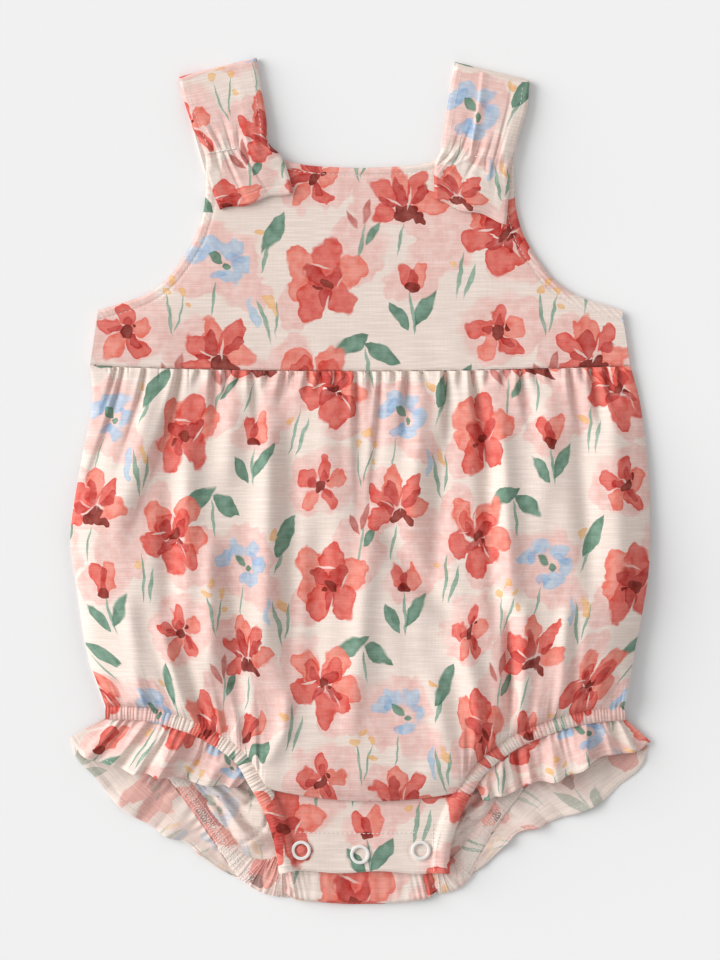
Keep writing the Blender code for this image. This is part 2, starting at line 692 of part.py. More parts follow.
def make_strap(side, finish):
    """A strap: back layer on the surface, round fold at the shoulder, front and tab."""
    rows = STRAP_FRONT[side]
    first = rows[0]
    top = (Vector((first.left_x, first.left_y, 0.0)), Vector((first.right_x, first.right_y, 0.0)))
    radius = STRAP_FOLD_RADIUS

    def edge_pair(place):
        return (Vector((smooth(rows, "left_x", place), smooth(rows, "left_y", place), 0.0)),
                Vector((smooth(rows, "right_x", place), smooth(rows, "right_y", place), 0.0)))

    def section(place):
        """Both edges and the height: place under 0 is the fold and the back layer."""
        if place >= 0.0:
            return (*edge_pair(place), smooth(rows, "z", place))
        if place > -1.0:
            turn = math.pi * (1.0 + place)
            rise = Vector((0.0, radius * math.sin(turn), 0.0))
            return top[0] + rise, top[1] + rise, radius * (1.0 - math.cos(turn))
        share = -1.0 - place
        low = edge_pair(0.5)
        low_y = BACK_SHOULDER_Y + SEAM_GAP
        ends = []
        for high_end, low_end in zip(top, low):
            ends.append(high_end.lerp(Vector((low_end.x, low_y, 0.0)), share))
        return ends[0], ends[1], 0.0

    places = [-2.0, -1.5, -1.0, -0.8, -0.6, -0.4, -0.2, 0.0, 0.14, 0.28, 0.4, 0.48, 0.56, 0.68,
              0.84, 1.0]

    def face(across, down):
        slot = down * (len(places) - 1)
        cell = min(int(slot), len(places) - 2)
        place = mix(places[cell], places[cell + 1], slot - cell)
        left, right, z = section(place)
        spot = left.lerp(right, across)
        spot.z = z
        return spot

    def pleats(index, across, down):
        place = places[round(down * (len(places) - 1))]
        if place < 0.0 or index % 2 == 0:
            return 0.0
        return smooth(rows, "pleat", place) * uneven(index + 3)

    cloth_wall(f"strap_{side}", face, spread(2 * STRAP_PLEATS + 1), spread(len(places)),
               STRAP_WALL, finish, pleats)


# ---------------------------------------------------------------- crotch and snaps

def casing_inner_edge(side, share):
    """Body side of a front casing, from under the bubble to the band's lower edge."""
    place = mix(FLAP_HIDDEN_AT, 1.0, share)
    return LEG[side].offset(place, CASING_WIDTH + SEAM_GAP)


def make_front_flap(finish):
    def face(across, down):
        spot = casing_inner_edge("left", down).lerp(casing_inner_edge("right", down), across)
        spot.z = FLAP_TOP_Z
        return spot

    cloth_wall("front_crotch_flap", face, spread(7), spread(11), FLAP_WALL, finish)


def make_back_flap(finish):
    """Back extension: along the surface, up round its lower fold and back on itself."""
    radius = FOLD_HEIGHT / 2
    gap = Vector((0.0, -SEAM_GAP, 0.0))
    seam = back_leg_hem("left", 1.0) + gap, back_leg_hem("right", 1.0) + gap
    fold_y = FOLD_LOWEST_Y + radius
    fold = Vector((-EXTENSION_HALF, fold_y, 0.0)), Vector((EXTENSION_HALF, fold_y, 0.0))
    top_half = EXTENSION_HALF - EXTENSION_TAPER
    top = Vector((-top_half, EXTENSION_TOP_Y, 0.0)), Vector((top_half, EXTENSION_TOP_Y, 0.0))
    stages = (0.0, 0.5, 1.0, 1.2, 1.4, 1.6, 1.8, 2.0, 2.5, 3.0)

    def face(across, down):
        # Read from right to left, so that the face below looks down.
        side = 1.0 - across
        stage = down * stages[-1]
        turn = min(max(stage - 1.0, 0.0), 1.0) * math.pi
        if stage < 1.0:
            left, right = seam[0].lerp(fold[0], stage), seam[1].lerp(fold[1], stage)
        elif stage > 2.0:
            left, right = fold[0].lerp(top[0], stage - 2.0), fold[1].lerp(top[1], stage - 2.0)
        else:
            left, right = fold
        spot = left.lerp(right, side)
        return Vector((spot.x, spot.y - radius * math.sin(turn), radius * (1.0 - math.cos(turn))))

    rows = [stage / stages[-1] for stage in stages]
    cloth_wall("back_crotch_flap", face, spread(7), rows, FLAP_WALL, finish)


def turned(name, profile, x, y, segments, finish):
    """A round piece: a closed profile of radius and height, turned about Z."""
    builder = bmesh.new()
    rings = []
    for index in range(segments):
        angle = 2.0 * math.pi * index / segments
        rings.append([builder.verts.new(((x + radius * math.cos(angle)) * MM,
                                         (y + radius * math.sin(angle)) * MM, z * MM))
                      for radius, z in profile])
    for here, there in zip(rings, rings[1:] + rings[:1]):
        for corner in range(len(profile)):
            after = (corner + 1) % len(profile)
            builder.faces.new((here[corner], here[after], there[after], there[corner]))
    return add_object(name, builder, finish)


def make_snaps(finish):
    low = FLAP_TOP_Z + SEAM_GAP
    ring = [(radius, low + rise) for radius, rise in RING_PROFILE]
    stud = [(STUD_BORE, STUD_Z[0]), (STUD_RADIUS, STUD_Z[0]), (STUD_RADIUS, STUD_Z[1]),
            (STUD_BORE, STUD_Z[1])]
    for snap in SNAPS:
        turned(f"snap_ring_{snap.name}", ring, snap.x, snap.y, RING_SEGMENTS, finish)
        turned(f"snap_stud_{snap.name}", stud, snap.x, snap.y, STUD_SEGMENTS, finish)


def main():
    for old in list(bpy.data.objects):
        bpy.data.objects.remove(old)
    printed = material("printed_linen", CREAM, 0.85)
    coral = material("printed_linen_bloom", CORAL_CREAM, 0.85)
    inside = material("linen_wrong_side", PALE_CREAM, 0.9)
    plastic = material("snap_plastic", SNAP_WHITE, 0.35)
    make_back_body(inside)
    make_back_yoke(inside)
    make_front_body(printed)
    make_front_yoke(printed)
    for side in ("left", "right"):
        make_front_casing(side, printed)
        make_back_casing(side, inside)
        make_front_ruffle(side, coral)
        make_back_ruffle(side, coral)
        make_strap(side, printed)
    make_back_flap(printed)
    make_front_flap(printed)
    make_snaps(plastic)


main()
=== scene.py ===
"""Baby's bubble romper, laid flat: cloth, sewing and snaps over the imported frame.

Lengths in the tables are millimetres, with X across the garment, Y from crotch to
shoulder and Z up from the surface that it lies on. Finished meshes are in metres.
"""

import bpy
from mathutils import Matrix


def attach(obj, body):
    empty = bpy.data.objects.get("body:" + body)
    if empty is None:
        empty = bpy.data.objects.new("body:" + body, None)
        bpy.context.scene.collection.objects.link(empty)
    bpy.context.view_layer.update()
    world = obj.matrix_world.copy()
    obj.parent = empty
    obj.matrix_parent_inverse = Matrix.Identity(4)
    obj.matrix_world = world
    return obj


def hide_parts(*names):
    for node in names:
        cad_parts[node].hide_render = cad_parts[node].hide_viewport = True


bl_info = {
    "name": "Bubble Romper",
    "version": (1, 0, 0),
    "blender": (4, 5, 0),
    "location": "View3D > Sidebar > Romper",
    "description": "Sews a baby's bubble romper with gathers, frills, print and snaps",
    "category": "Add Mesh",
}

import math
from collections import namedtuple

import bpy
import numpy as np
from mathutils import Vector, noise

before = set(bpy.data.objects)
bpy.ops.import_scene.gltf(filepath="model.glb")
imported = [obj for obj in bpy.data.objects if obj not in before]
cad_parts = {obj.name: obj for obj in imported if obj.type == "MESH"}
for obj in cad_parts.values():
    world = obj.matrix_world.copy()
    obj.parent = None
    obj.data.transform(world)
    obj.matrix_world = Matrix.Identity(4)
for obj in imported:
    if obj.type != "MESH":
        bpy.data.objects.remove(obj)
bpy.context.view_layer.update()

MM = 0.001
SEAM_GAP = 0.3
SIDES = ("left", "right")     # as they are seen from the front
HAND = {"left": -1.0, "right": 1.0}


def table(columns, *rows):
    """Rows of numbers under named columns."""
    row = namedtuple("Row", columns)
    return tuple(row(*values) for values in rows)


def sided(columns, left, right):
    """The same table for both sides, whose numbers differ a little."""
    return {"left": table(columns, *left), "right": table(columns, *right)}


# ------------------------------------------------------------------ tables: the body

WAIST_Y = 52.6
WAIST_BOW = 2.6
WAIST_HALF = 131.2
FRONT_WAIST_Z = 3.4
SIDE_EDGE_Z = 1.5

BODY_OUTLINE = table(
    "y left right",
    (-160.0, -122.5, 128.0), (-116.0, -123.5, 129.3), (-107.6, -125.9, 130.3),
    (-85.7, -133.2, 134.2), (-49.2, -138.8, 140.5), (-27.0, -141.3, 141.5), (9.3, -135.6, 140.0),
    (38.5, -130.0, 136.0), (56.0, -131.2, 131.2),
)

CROWN = table(
    "down height",
    (0.0, 0.0), (0.015, 1.2), (0.06, 2.2), (0.2, 4.2), (0.45, 6.7), (0.72, 8.0), (0.88, 7.0),
    (0.95, 5.2), (0.985, 2.6), (1.0, 0.0),
)
SIDE_ROUNDNESS = 15.0
SIDE_RISE = 0.09
SIDE_RETURN = 0.07
GATHER_TO_LEG = 1.7
FULL_CROWN = 4.0

# Creases pressed in by the waist gathers: each is a narrow trough from the seam down.
WAIST_CREASES = table(
    "top_x low_x length depth",
    (-119.1, -124.9, 25.0, 1.2), (-115.7, -134.6, 62.0, 1.5), (-104.9, -115.2, 44.0, 1.4),
    (-88.1, -106.0, 68.0, 3.0), (-78.8, -80.1, 8.0, 1.1), (-71.8, -70.4, 29.0, 1.9),
    (-66.0, -65.0, 17.0, 1.2), (-59.2, -60.6, 10.0, 1.0), (-53.3, -49.0, 28.0, 1.6),
    (-45.0, -45.8, 8.0, 1.0), (-37.3, -38.7, 16.0, 1.7), (-32.9, -34.3, 9.0, 1.1),
    (-25.7, -26.7, 13.0, 1.3), (-19.7, -20.2, 11.0, 1.2), (-12.4, -11.9, 12.0, 1.3),
    (-7.6, -7.0, 6.0, 0.9), (-2.4, -0.7, 60.0, 1.5), (3.9, 6.6, 12.0, 1.2), (9.5, 4.9, 68.0, 1.3),
    (16.1, 17.8, 7.0, 1.0), (22.2, 21.9, 32.0, 2.4), (29.9, 32.9, 8.0, 1.1),
    (41.2, 43.6, 38.0, 2.3), (48.0, 48.7, 8.0, 1.0), (54.3, 65.5, 58.0, 2.9),
    (61.6, 62.1, 7.0, 1.0), (69.2, 69.9, 8.0, 1.1), (77.5, 82.1, 26.0, 1.9),
    (84.0, 86.9, 8.0, 1.0), (91.0, 94.2, 8.0, 1.1), (101.4, 107.4, 31.0, 1.6),
    (107.0, 110.0, 8.0, 1.0), (111.6, 117.6, 28.0, 1.9), (119.1, 124.5, 22.0, 1.3),
    (125.5, 129.0, 14.0, 1.0),
)
CREASE_WIDTH = 0.85
CREASE_DEPTH = 1.9
CREASE_DEEPEST = 2.2
CREASE_HIDES = 1.9        # cloth lost in a crease, for each millimetre of its depth
CREASE_END = 1.5          # lengths below the seam at which a crease has died out
CREASE_SPREAD = 2.2       # how much wider it is at its length
CREASE_STEEP = 0.8        # widths of its steep left side and its easy right side
CREASE_EASY = 1.9
CREASE_LIP = 0.2          # ridge along the steep side, for the crease's depth
SLIT_WIDTH = 0.2          # the fine slits between the gathers, right at the seam

# Broad soft ridges (positive depth) and troughs (negative) of the full front.
FRONT_FOLDS = table(
    "top_x low_x high_y low_y width depth",
    (-99.0, -118.0, 44.0, -22.0, 8.0, 1.8), (-62.0, -64.0, 44.0, 0.0, 6.0, 1.2),
    (-44.0, -46.0, 30.0, -82.0, 6.5, 2.2), (-35.0, -33.0, 20.0, -92.0, 5.0, -1.7),
    (-72.0, -71.0, -30.0, -90.0, 5.5, 2.0), (-64.0, -59.0, -42.0, -108.0, 5.0, -1.8),
    (-16.0, -14.0, 40.0, -50.0, 9.0, 1.0), (29.0, 26.0, 46.0, -20.0, 5.0, 1.4),
    (10.0, 46.0, -26.0, -70.0, 6.0, -1.6), (68.0, 74.0, 30.0, -68.0, 5.5, 2.2),
    (60.0, 66.0, 18.0, -72.0, 4.5, -1.4), (49.0, 59.0, -70.0, -124.0, 6.0, 1.9),
    (71.6, 72.6, -66.0, -118.0, 2.4, -2.4), (80.0, 78.0, -60.0, -116.0, 4.0, 1.4),
    (99.0, 97.0, -62.0, -110.0, 4.0, 1.3), (104.5, 103.0, -66.0, -110.0, 2.6, -1.0),
    (92.0, 90.0, 42.0, -10.0, 7.0, 1.1), (122.0, 127.0, 40.0, -60.0, 7.0, 1.4),
    (-35.0, -37.0, -104.0, -124.0, 3.8, 1.3), (-36.0, -44.0, -120.0, -136.0, 4.6, 1.0),
    (-112.0, -104.0, -60.0, -112.0, 5.0, 1.5), (-96.0, -84.0, -70.0, -118.0, 4.0, 1.4),
    (-88.0, -74.0, -76.0, -124.0, 3.4, -1.3), (34.0, 44.0, -92.0, -138.0, 6.0, 1.2),
    (-84.0, -82.0, 22.0, -60.0, 6.5, 1.5), (-92.0, -92.0, 8.0, -66.0, 5.0, -1.4),
    (-18.0, -24.0, -20.0, -104.0, 7.0, -1.5), (6.0, -4.0, -18.0, -120.0, 6.0, 1.5),
    (40.0, 36.0, 20.0, -50.0, 5.0, -1.5), (106.0, 112.0, 26.0, -50.0, 5.0, -1.4),
)
FOLD_DEPTH = 1.9
FOLD_SPREAD = 3.0         # widths that a fold reaches to each side
FOLD_RUN_IN = 0.15
FOLD_RUN_OUT = 0.2

HEM_GATHERS = 16          # larger gathers above each leg casing
HEM_PUCKER = 1.4
HEM_REACH = (5.0, 21.0)
RIB_REACH = (3.0, 12.0)   # how far a casing's rib runs on into the body
PUCKER_LIMIT = 50.0
PUCKER_WIDTH = 0.3
PUCKER_SEED = {"left": 0, "right": 17}
BROAD_PUCKERS = 7.3       # a few wide, low ones among them
BROAD_RISE = 0.7
BROAD_REACH = 26.0
BODY_RIPPLE = 0.1         # small waves and soft dents all over the front
BODY_DENTS = 0.5
HEM_ROLL = 1.5            # radius at which the overhang's edge turns in
ROLL_TURN = 0.75
BODY_CLOTH_WIDTH = 345.0
BODY_CLOTH_STRETCH = 1.03     # length of cloth in the front, for its length in plan
LEG_MIDDLE = 0.17         # place across that a casing's gathers draw the cloth to
LEG_SQUEEZE = 0.5
SQUEEZE_REACH = 22.0
FRONT_LENGTH_ROWS = 90
FRONT_TUCK_ROWS = [1.013, 1.026, 1.04]     # turned in under the hem


# ------------------------------------------------------------- tables: leg openings

LEG_EDGE = sided(
    "at x y top_z",
    left=(
        (0.0, -123.5, -116.4, 6.0), (0.11, -104.0, -117.0, 8.6), (0.2, -90.0, -120.6, 10.0),
        (0.29, -77.0, -125.6, 10.4), (0.42, -61.1, -136.4, 10.4), (0.52, -54.3, -147.1, 10.0),
        (0.65, -46.5, -161.5, 9.2), (0.82, -41.4, -177.5, 8.4), (1.0, -39.2, -191.0, 8.0),
    ),
    right=(
        (0.0, 128.6, -116.8, 6.0), (0.1, 112.0, -118.2, 8.6), (0.2, 95.5, -122.2, 10.0),
        (0.31, 77.0, -129.8, 10.4), (0.43, 62.1, -140.9, 10.4), (0.54, 54.6, -151.6, 10.0),
        (0.66, 48.6, -163.6, 9.2), (0.82, 44.2, -177.5, 8.4), (1.0, 43.4, -191.0, 8.0),
    ),
)
CASING_WIDTH = 6.6
HEM_LEDGE = 0.35           # the body's edge lies this high over the casing
CASING_ARCH = 1.0
CASING_GROOVE = 0.9        # where the frill is sewn on
CASING_DIP = 1.3           # how far it sinks under the body's edge
CASING_RIBS = 74
RIB_HEIGHT = 0.75
RIB_ROUNDNESS = 0.65
RIB_SEED = {"left": 5, "right": 31}
CROTCH_RIB = 0.42          # lower ribs beside the snap band
CASING_OVERLAP = 1.7       # runs under the body's edge
OVERHANG_FROM = 0.34
OVERHANG_AT = 0.555
OVERHANG_DROP = 5.5
OVERHANG_Z = 10.4

BACK_LEG_LINE = sided(
    "at x y",
    left=(
        (0.0, -118.5, -121.5), (0.14, -107.0, -130.0), (0.32, -92.3, -141.7),
        (0.47, -82.5, -153.9), (0.67, -70.4, -170.9), (0.84, -60.6, -185.5), (1.0, -50.4, -196.6),
    ),
    right=(
        (0.0, 120.5, -122.0), (0.16, 104.0, -130.4), (0.4, 81.5, -143.6), (0.54, 71.4, -156.3),
        (0.71, 61.1, -170.9), (0.87, 52.8, -185.5), (1.0, 46.8, -196.3),
    ),
)
BACK_CASING_WIDTH = 6.4
BACK_CASING_RIBS = 68
BUNCH_FROM = 0.86          # the band bunches up from here to the crotch
BAND_ARCH = 1.1

# The elastic band behind the leg, with the bunched end that meets the crotch band.
BACK_BAND_LINE = sided(
    "at x y",
    left=(
        *BACK_LEG_LINE["left"][:6], (0.95, -54.6, -191.6), (1.06, -45.6, -196.8),
        (1.14, -33.6, -199.0),
    ),
    right=(
        *BACK_LEG_LINE["right"][:6], (0.97, 49.6, -190.4), (1.06, 43.6, -194.6),
        (1.12, 33.8, -197.6),
    ),
)
BACK_BAND_WIDTH = sided(
    "at inner outer",
    left=(
        (0.0, 3.4, 3.6), (0.3, 5.2, 3.6), (0.8, 5.6, 3.8), (0.95, 8.4, 4.2), (1.05, 14.0, 4.6),
        (1.14, 13.0, 4.8),
    ),
    right=(
        (0.0, 3.4, 3.6), (0.3, 5.2, 3.6), (0.8, 5.8, 3.8), (0.95, 9.4, 5.0), (1.05, 11.0, 5.6),
        (1.12, 10.0, 4.8),
    ),
)

RUFFLE_FRONT = sided(
    "at place hem_x hem_y hem_z wave",
    left=(
        (0.0, 0.5, -59.5, -149.0, 8.0, 0.1), (0.16, 0.385, -70.4, -148.4, 7.6, 0.3),
        (0.33, 0.29, -83.5, -145.6, 7.5, 0.7), (0.52, 0.2, -101.0, -143.4, 7.4, 1.4),
        (0.72, 0.11, -118.0, -140.0, 6.8, 1.2), (0.86, 0.04, -131.6, -135.2, 5.6, 0.4),
        (0.95, 0.01, -138.8, -129.6, 4.2, 0.0), (1.0, 0.0, -141.3, -125.6, 3.0, 0.0),
    ),
    right=(
        (0.0, 0.5, 59.6, -155.6, 8.0, 0.1), (0.16, 0.4, 68.4, -153.6, 7.6, 0.3),
        (0.33, 0.31, 80.4, -148.0, 7.5, 0.7), (0.52, 0.21, 98.6, -144.8, 7.4, 1.4),
        (0.72, 0.11, 116.4, -135.6, 6.8, 1.2), (0.86, 0.04, 129.4, -132.4, 5.6, 0.4),
        (0.95, 0.01, 137.8, -130.0, 4.2, 0.0), (1.0, 0.0, 141.3, -127.4, 3.0, 0.0),
    ),
)
RUFFLE_BACK = sided(
    "at place hem_x hem_y hem_z wave",
    left=(
        (0.0, 0.0, -140.9, -127.0, 0.0, 0.0), (0.09, 0.06, -135.4, -138.0, 0.0, 0.3),
        (0.27, 0.2, -122.4, -153.0, 0.0, 1.0), (0.5, 0.39, -104.6, -167.6, 0.0, 2.0),
        (0.73, 0.63, -86.4, -176.6, 0.0, 2.0), (0.87, 0.77, -75.6, -183.4, 0.0, 1.2),
        (0.95, 0.86, -66.4, -190.6, 0.0, 0.6), (1.0, 0.93, -58.0, -193.9, 0.0, 0.1),
    ),
    right=(
        (0.0, 0.0, 140.9, -130.0, 0.0, 0.0), (0.09, 0.06, 133.6, -142.4, 0.0, 0.3),
        (0.27, 0.2, 118.6, -155.4, 0.0, 1.0), (0.5, 0.43, 97.6, -165.2, 0.0, 2.0),
        (0.73, 0.66, 79.0, -171.6, 0.0, 2.0), (0.87, 0.78, 69.4, -178.4, 0.0, 1.2),
        (0.95, 0.87, 60.8, -187.4, 0.0, 0.6), (1.0, 0.93, 53.6, -192.5, 0.0, 0.1),
    ),
)
RUFFLE_TUCK = 1.0
RUFFLE_CLEAR = 0.5
CASING_WALL = 1.5

# Folds of each front frill: its place at the root and at the hem, with a steep side
# facing the crotch (-1), the side seam (1) or neither (0).
FRILL_FOLDS = sided(
    "root hem height width steep",
    left=(
        (0.06, 0.05, 1.3, 0.03, 0), (0.15, 0.21, 2.2, 0.045, 0), (0.27, 0.34, -1.4, 0.02, 0),
        (0.42, 0.47, 3.4, 0.08, -1), (0.53, 0.57, -1.1, 0.02, 0), (0.58, 0.61, 1.4, 0.024, 0),
        (0.66, 0.7, -1.5, 0.025, 0), (0.71, 0.75, 1.6, 0.026, 0), (0.79, 0.81, -1.0, 0.02, 0),
        (0.87, 0.87, 1.5, 0.028, 0),
    ),
    right=(
        (0.08, 0.06, 1.3, 0.035, 0), (0.2, 0.16, 1.6, 0.04, 0), (0.31, 0.3, -2.6, 0.02, 0),
        (0.36, 0.36, 2.3, 0.026, 0), (0.45, 0.43, -1.0, 0.02, 0), (0.51, 0.48, 1.4, 0.04, 0),
        (0.72, 0.66, 3.4, 0.08, 1), (0.8, 0.78, 1.3, 0.024, 0), (0.86, 0.84, -1.0, 0.02, 0),
        (0.91, 0.89, 1.5, 0.026, 0),
    ),
)
FRILL_FOLD_RISE = 1.4
FRILL_LAP_STEEP = 0.004
FRONT_WAVES = 5
BACK_WAVES = 3.6
FRONT_HEM_AT = 0.885      # stitch line of the hem, across the frill
BACK_HEM_AT = 0.84


# --------------------------------------------------------- tables: yokes and straps

YOKE = table(
    "at waist_x edge_x edge_y",
    (0.0, 131.2, 127.3, 82.3), (0.08, 124.0, 121.5, 84.0), (0.2, 112.0, 105.2, 89.6),
    (0.29, 102.0, 94.5, 96.9), (0.36, 95.0, 88.4, 104.2), (0.46, 84.0, 79.6, 118.8),
    (0.53, 73.0, 75.6, 133.4), (0.6, 63.0, 75.0, 147.0), (0.65, 58.0, 73.4, 156.0),
    (0.72, 51.0, 57.0, 158.6), (0.8, 44.0, 43.0, 160.2), (0.84, 38.0, 37.2, 155.6),
    (0.9, 26.0, 25.0, 152.8), (1.0, 0.0, 0.0, 151.4),
)
YOKE_PUFF = 1.0
FRONT_YOKE_TOP = 3.3
YOKE_WALL = 1.5
BACK_YOKE_INSET = 1.2
FRONT_SHOULDER_Y = 170.0
BACK_SHOULDER_Y = 149.0

STRAP_FRONT = sided(
    "at left_x left_y right_x right_y z",
    left=(
        (0.0, -87.8, 193.6, -50.4, 203.0, 4.6), (0.18, -84.6, 181.0, -47.6, 188.0, 4.8),
        (0.35, -79.8, 168.4, -45.4, 174.4, 5.4), (0.48, -75.4, 157.8, -44.4, 163.6, 6.6),
        (0.58, -74.6, 150.0, -38.6, 157.6, 6.6), (0.8, -71.2, 138.8, -34.4, 147.6, 6.5),
        (1.0, -67.9, 130.5, -32.4, 139.6, 6.3),
    ),
    right=(
        (0.0, 46.2, 200.8, 82.4, 192.0, 4.6), (0.18, 43.4, 187.0, 81.0, 180.0, 4.8),
        (0.35, 41.0, 172.0, 76.8, 166.0, 5.4), (0.48, 39.4, 160.2, 73.0, 153.0, 6.6),
        (0.58, 36.4, 154.0, 72.6, 146.4, 6.6), (0.8, 36.0, 144.6, 71.8, 134.6, 6.5),
        (1.0, 36.2, 135.4, 70.9, 124.4, 6.3),
    ),
)
STRAP_PINCH = 0.48
STRAP_PRINT_SHIFT = {"left": 0.0, "right": 30.0}
STRAP_EDGE_DROP = 0.8
TAB_HEM_AT = 0.885
TAB_FROM = 0.6
CRUMPLE_SEED = {"left": 2.0, "right": 7.0}
STRAP_FOLD_RADIUS = 2.3

# Pleats caught by the stitch line across each strap: their place across it, how far
# they run up and down the strap, and how far they lean over that run.
STRAP_PLEATS = sided(
    "across width height above below lean_up lean_down",
    left=(
        (0.08, 0.03, 0.5, 0.1, 0.1, -0.02, 0.0), (0.16, 0.014, -0.7, 0.1, 0.12, -0.05, 0.02),
        (0.22, 0.02, 0.9, 0.16, 0.12, -0.06, 0.0), (0.28, 0.014, -1.0, 0.12, 0.3, -0.04, 0.06),
        (0.34, 0.022, 1.1, 0.1, 0.3, -0.02, 0.05), (0.42, 0.014, -0.9, 0.14, 0.12, 0.0, 0.05),
        (0.48, 0.02, 0.7, 0.08, 0.16, 0.02, 0.06), (0.54, 0.014, -0.8, 0.1, 0.36, 0.04, 0.1),
        (0.68, 0.04, 0.4, 0.3, 0.12, 0.05, 0.1), (0.8, 0.045, 0.4, 0.1, 0.24, 0.06, 0.12),
        (0.93, 0.03, 0.4, 0.2, 0.1, 0.0, 0.0),
    ),
    right=(
        (0.07, 0.03, 0.4, 0.1, 0.1, 0.0, -0.1), (0.14, 0.014, -0.7, 0.1, 0.16, 0.06, -0.12),
        (0.2, 0.018, 0.6, 0.07, 0.26, 0.07, -0.16), (0.27, 0.014, -0.8, 0.12, 0.1, 0.06, -0.12),
        (0.33, 0.018, 0.5, 0.06, 0.2, 0.06, -0.14), (0.42, 0.03, 1.1, 0.62, 0.06, -0.06, -0.1),
        (0.5, 0.014, -0.9, 0.09, 0.14, 0.03, -0.06), (0.57, 0.018, 0.5, 0.06, 0.08, 0.03, -0.04),
        (0.64, 0.012, -0.6, 0.1, 0.06, 0.02, 0.03), (0.76, 0.014, -0.9, 0.34, 0.14, 0.0, 0.0),
        (0.84, 0.03, 0.6, 0.2, 0.3, 0.03, 0.02), (0.93, 0.03, 0.4, 0.12, 0.14, 0.0, 0.0),
    ),
)


# --------------------------------------------------------- tables: crotch and snaps

CROTCH_FROM = 0.36
BACK_END = 0.86
BACK_TOP = 1.2
BACK_SIDE_END = -112.0
FLAP_TOP_Z = 6.8
FLAP_UNDER = 1.8          # runs under the casings on both sides
FLAP_SINK = 1.3
FLAP_PRINT = (21.0, -30.0)
SNAP_DIMPLE = 5.6         # radius of the ring that each snap presses into the band
SNAP_POST = 1.9           # radius of the post that fills a ring
FLAP_HIDDEN_AT = 0.53
FOLD_LOWEST_Y = -206.5
FOLD_HEIGHT = 3.8
EXTENSION_HALF = 37.0
EXTENSION_TAPER = 4.0
EXTENSION_TOP_Y = -169.0

SNAPS = table(
    "name x y filled",
    ("left", -28.5, -179.7, 1.0), ("middle", 0.0, -181.7, 0.0), ("right", 29.5, -179.7, 0.0),
)
RING_OUTER = 4.75
RING_INNER = 3.15
RING_RISE = 1.05
RING_FLATNESS = 0.45      # 1 is a round wire, less is a flatter cap


# --------------------------------------------------------------- tables: the print

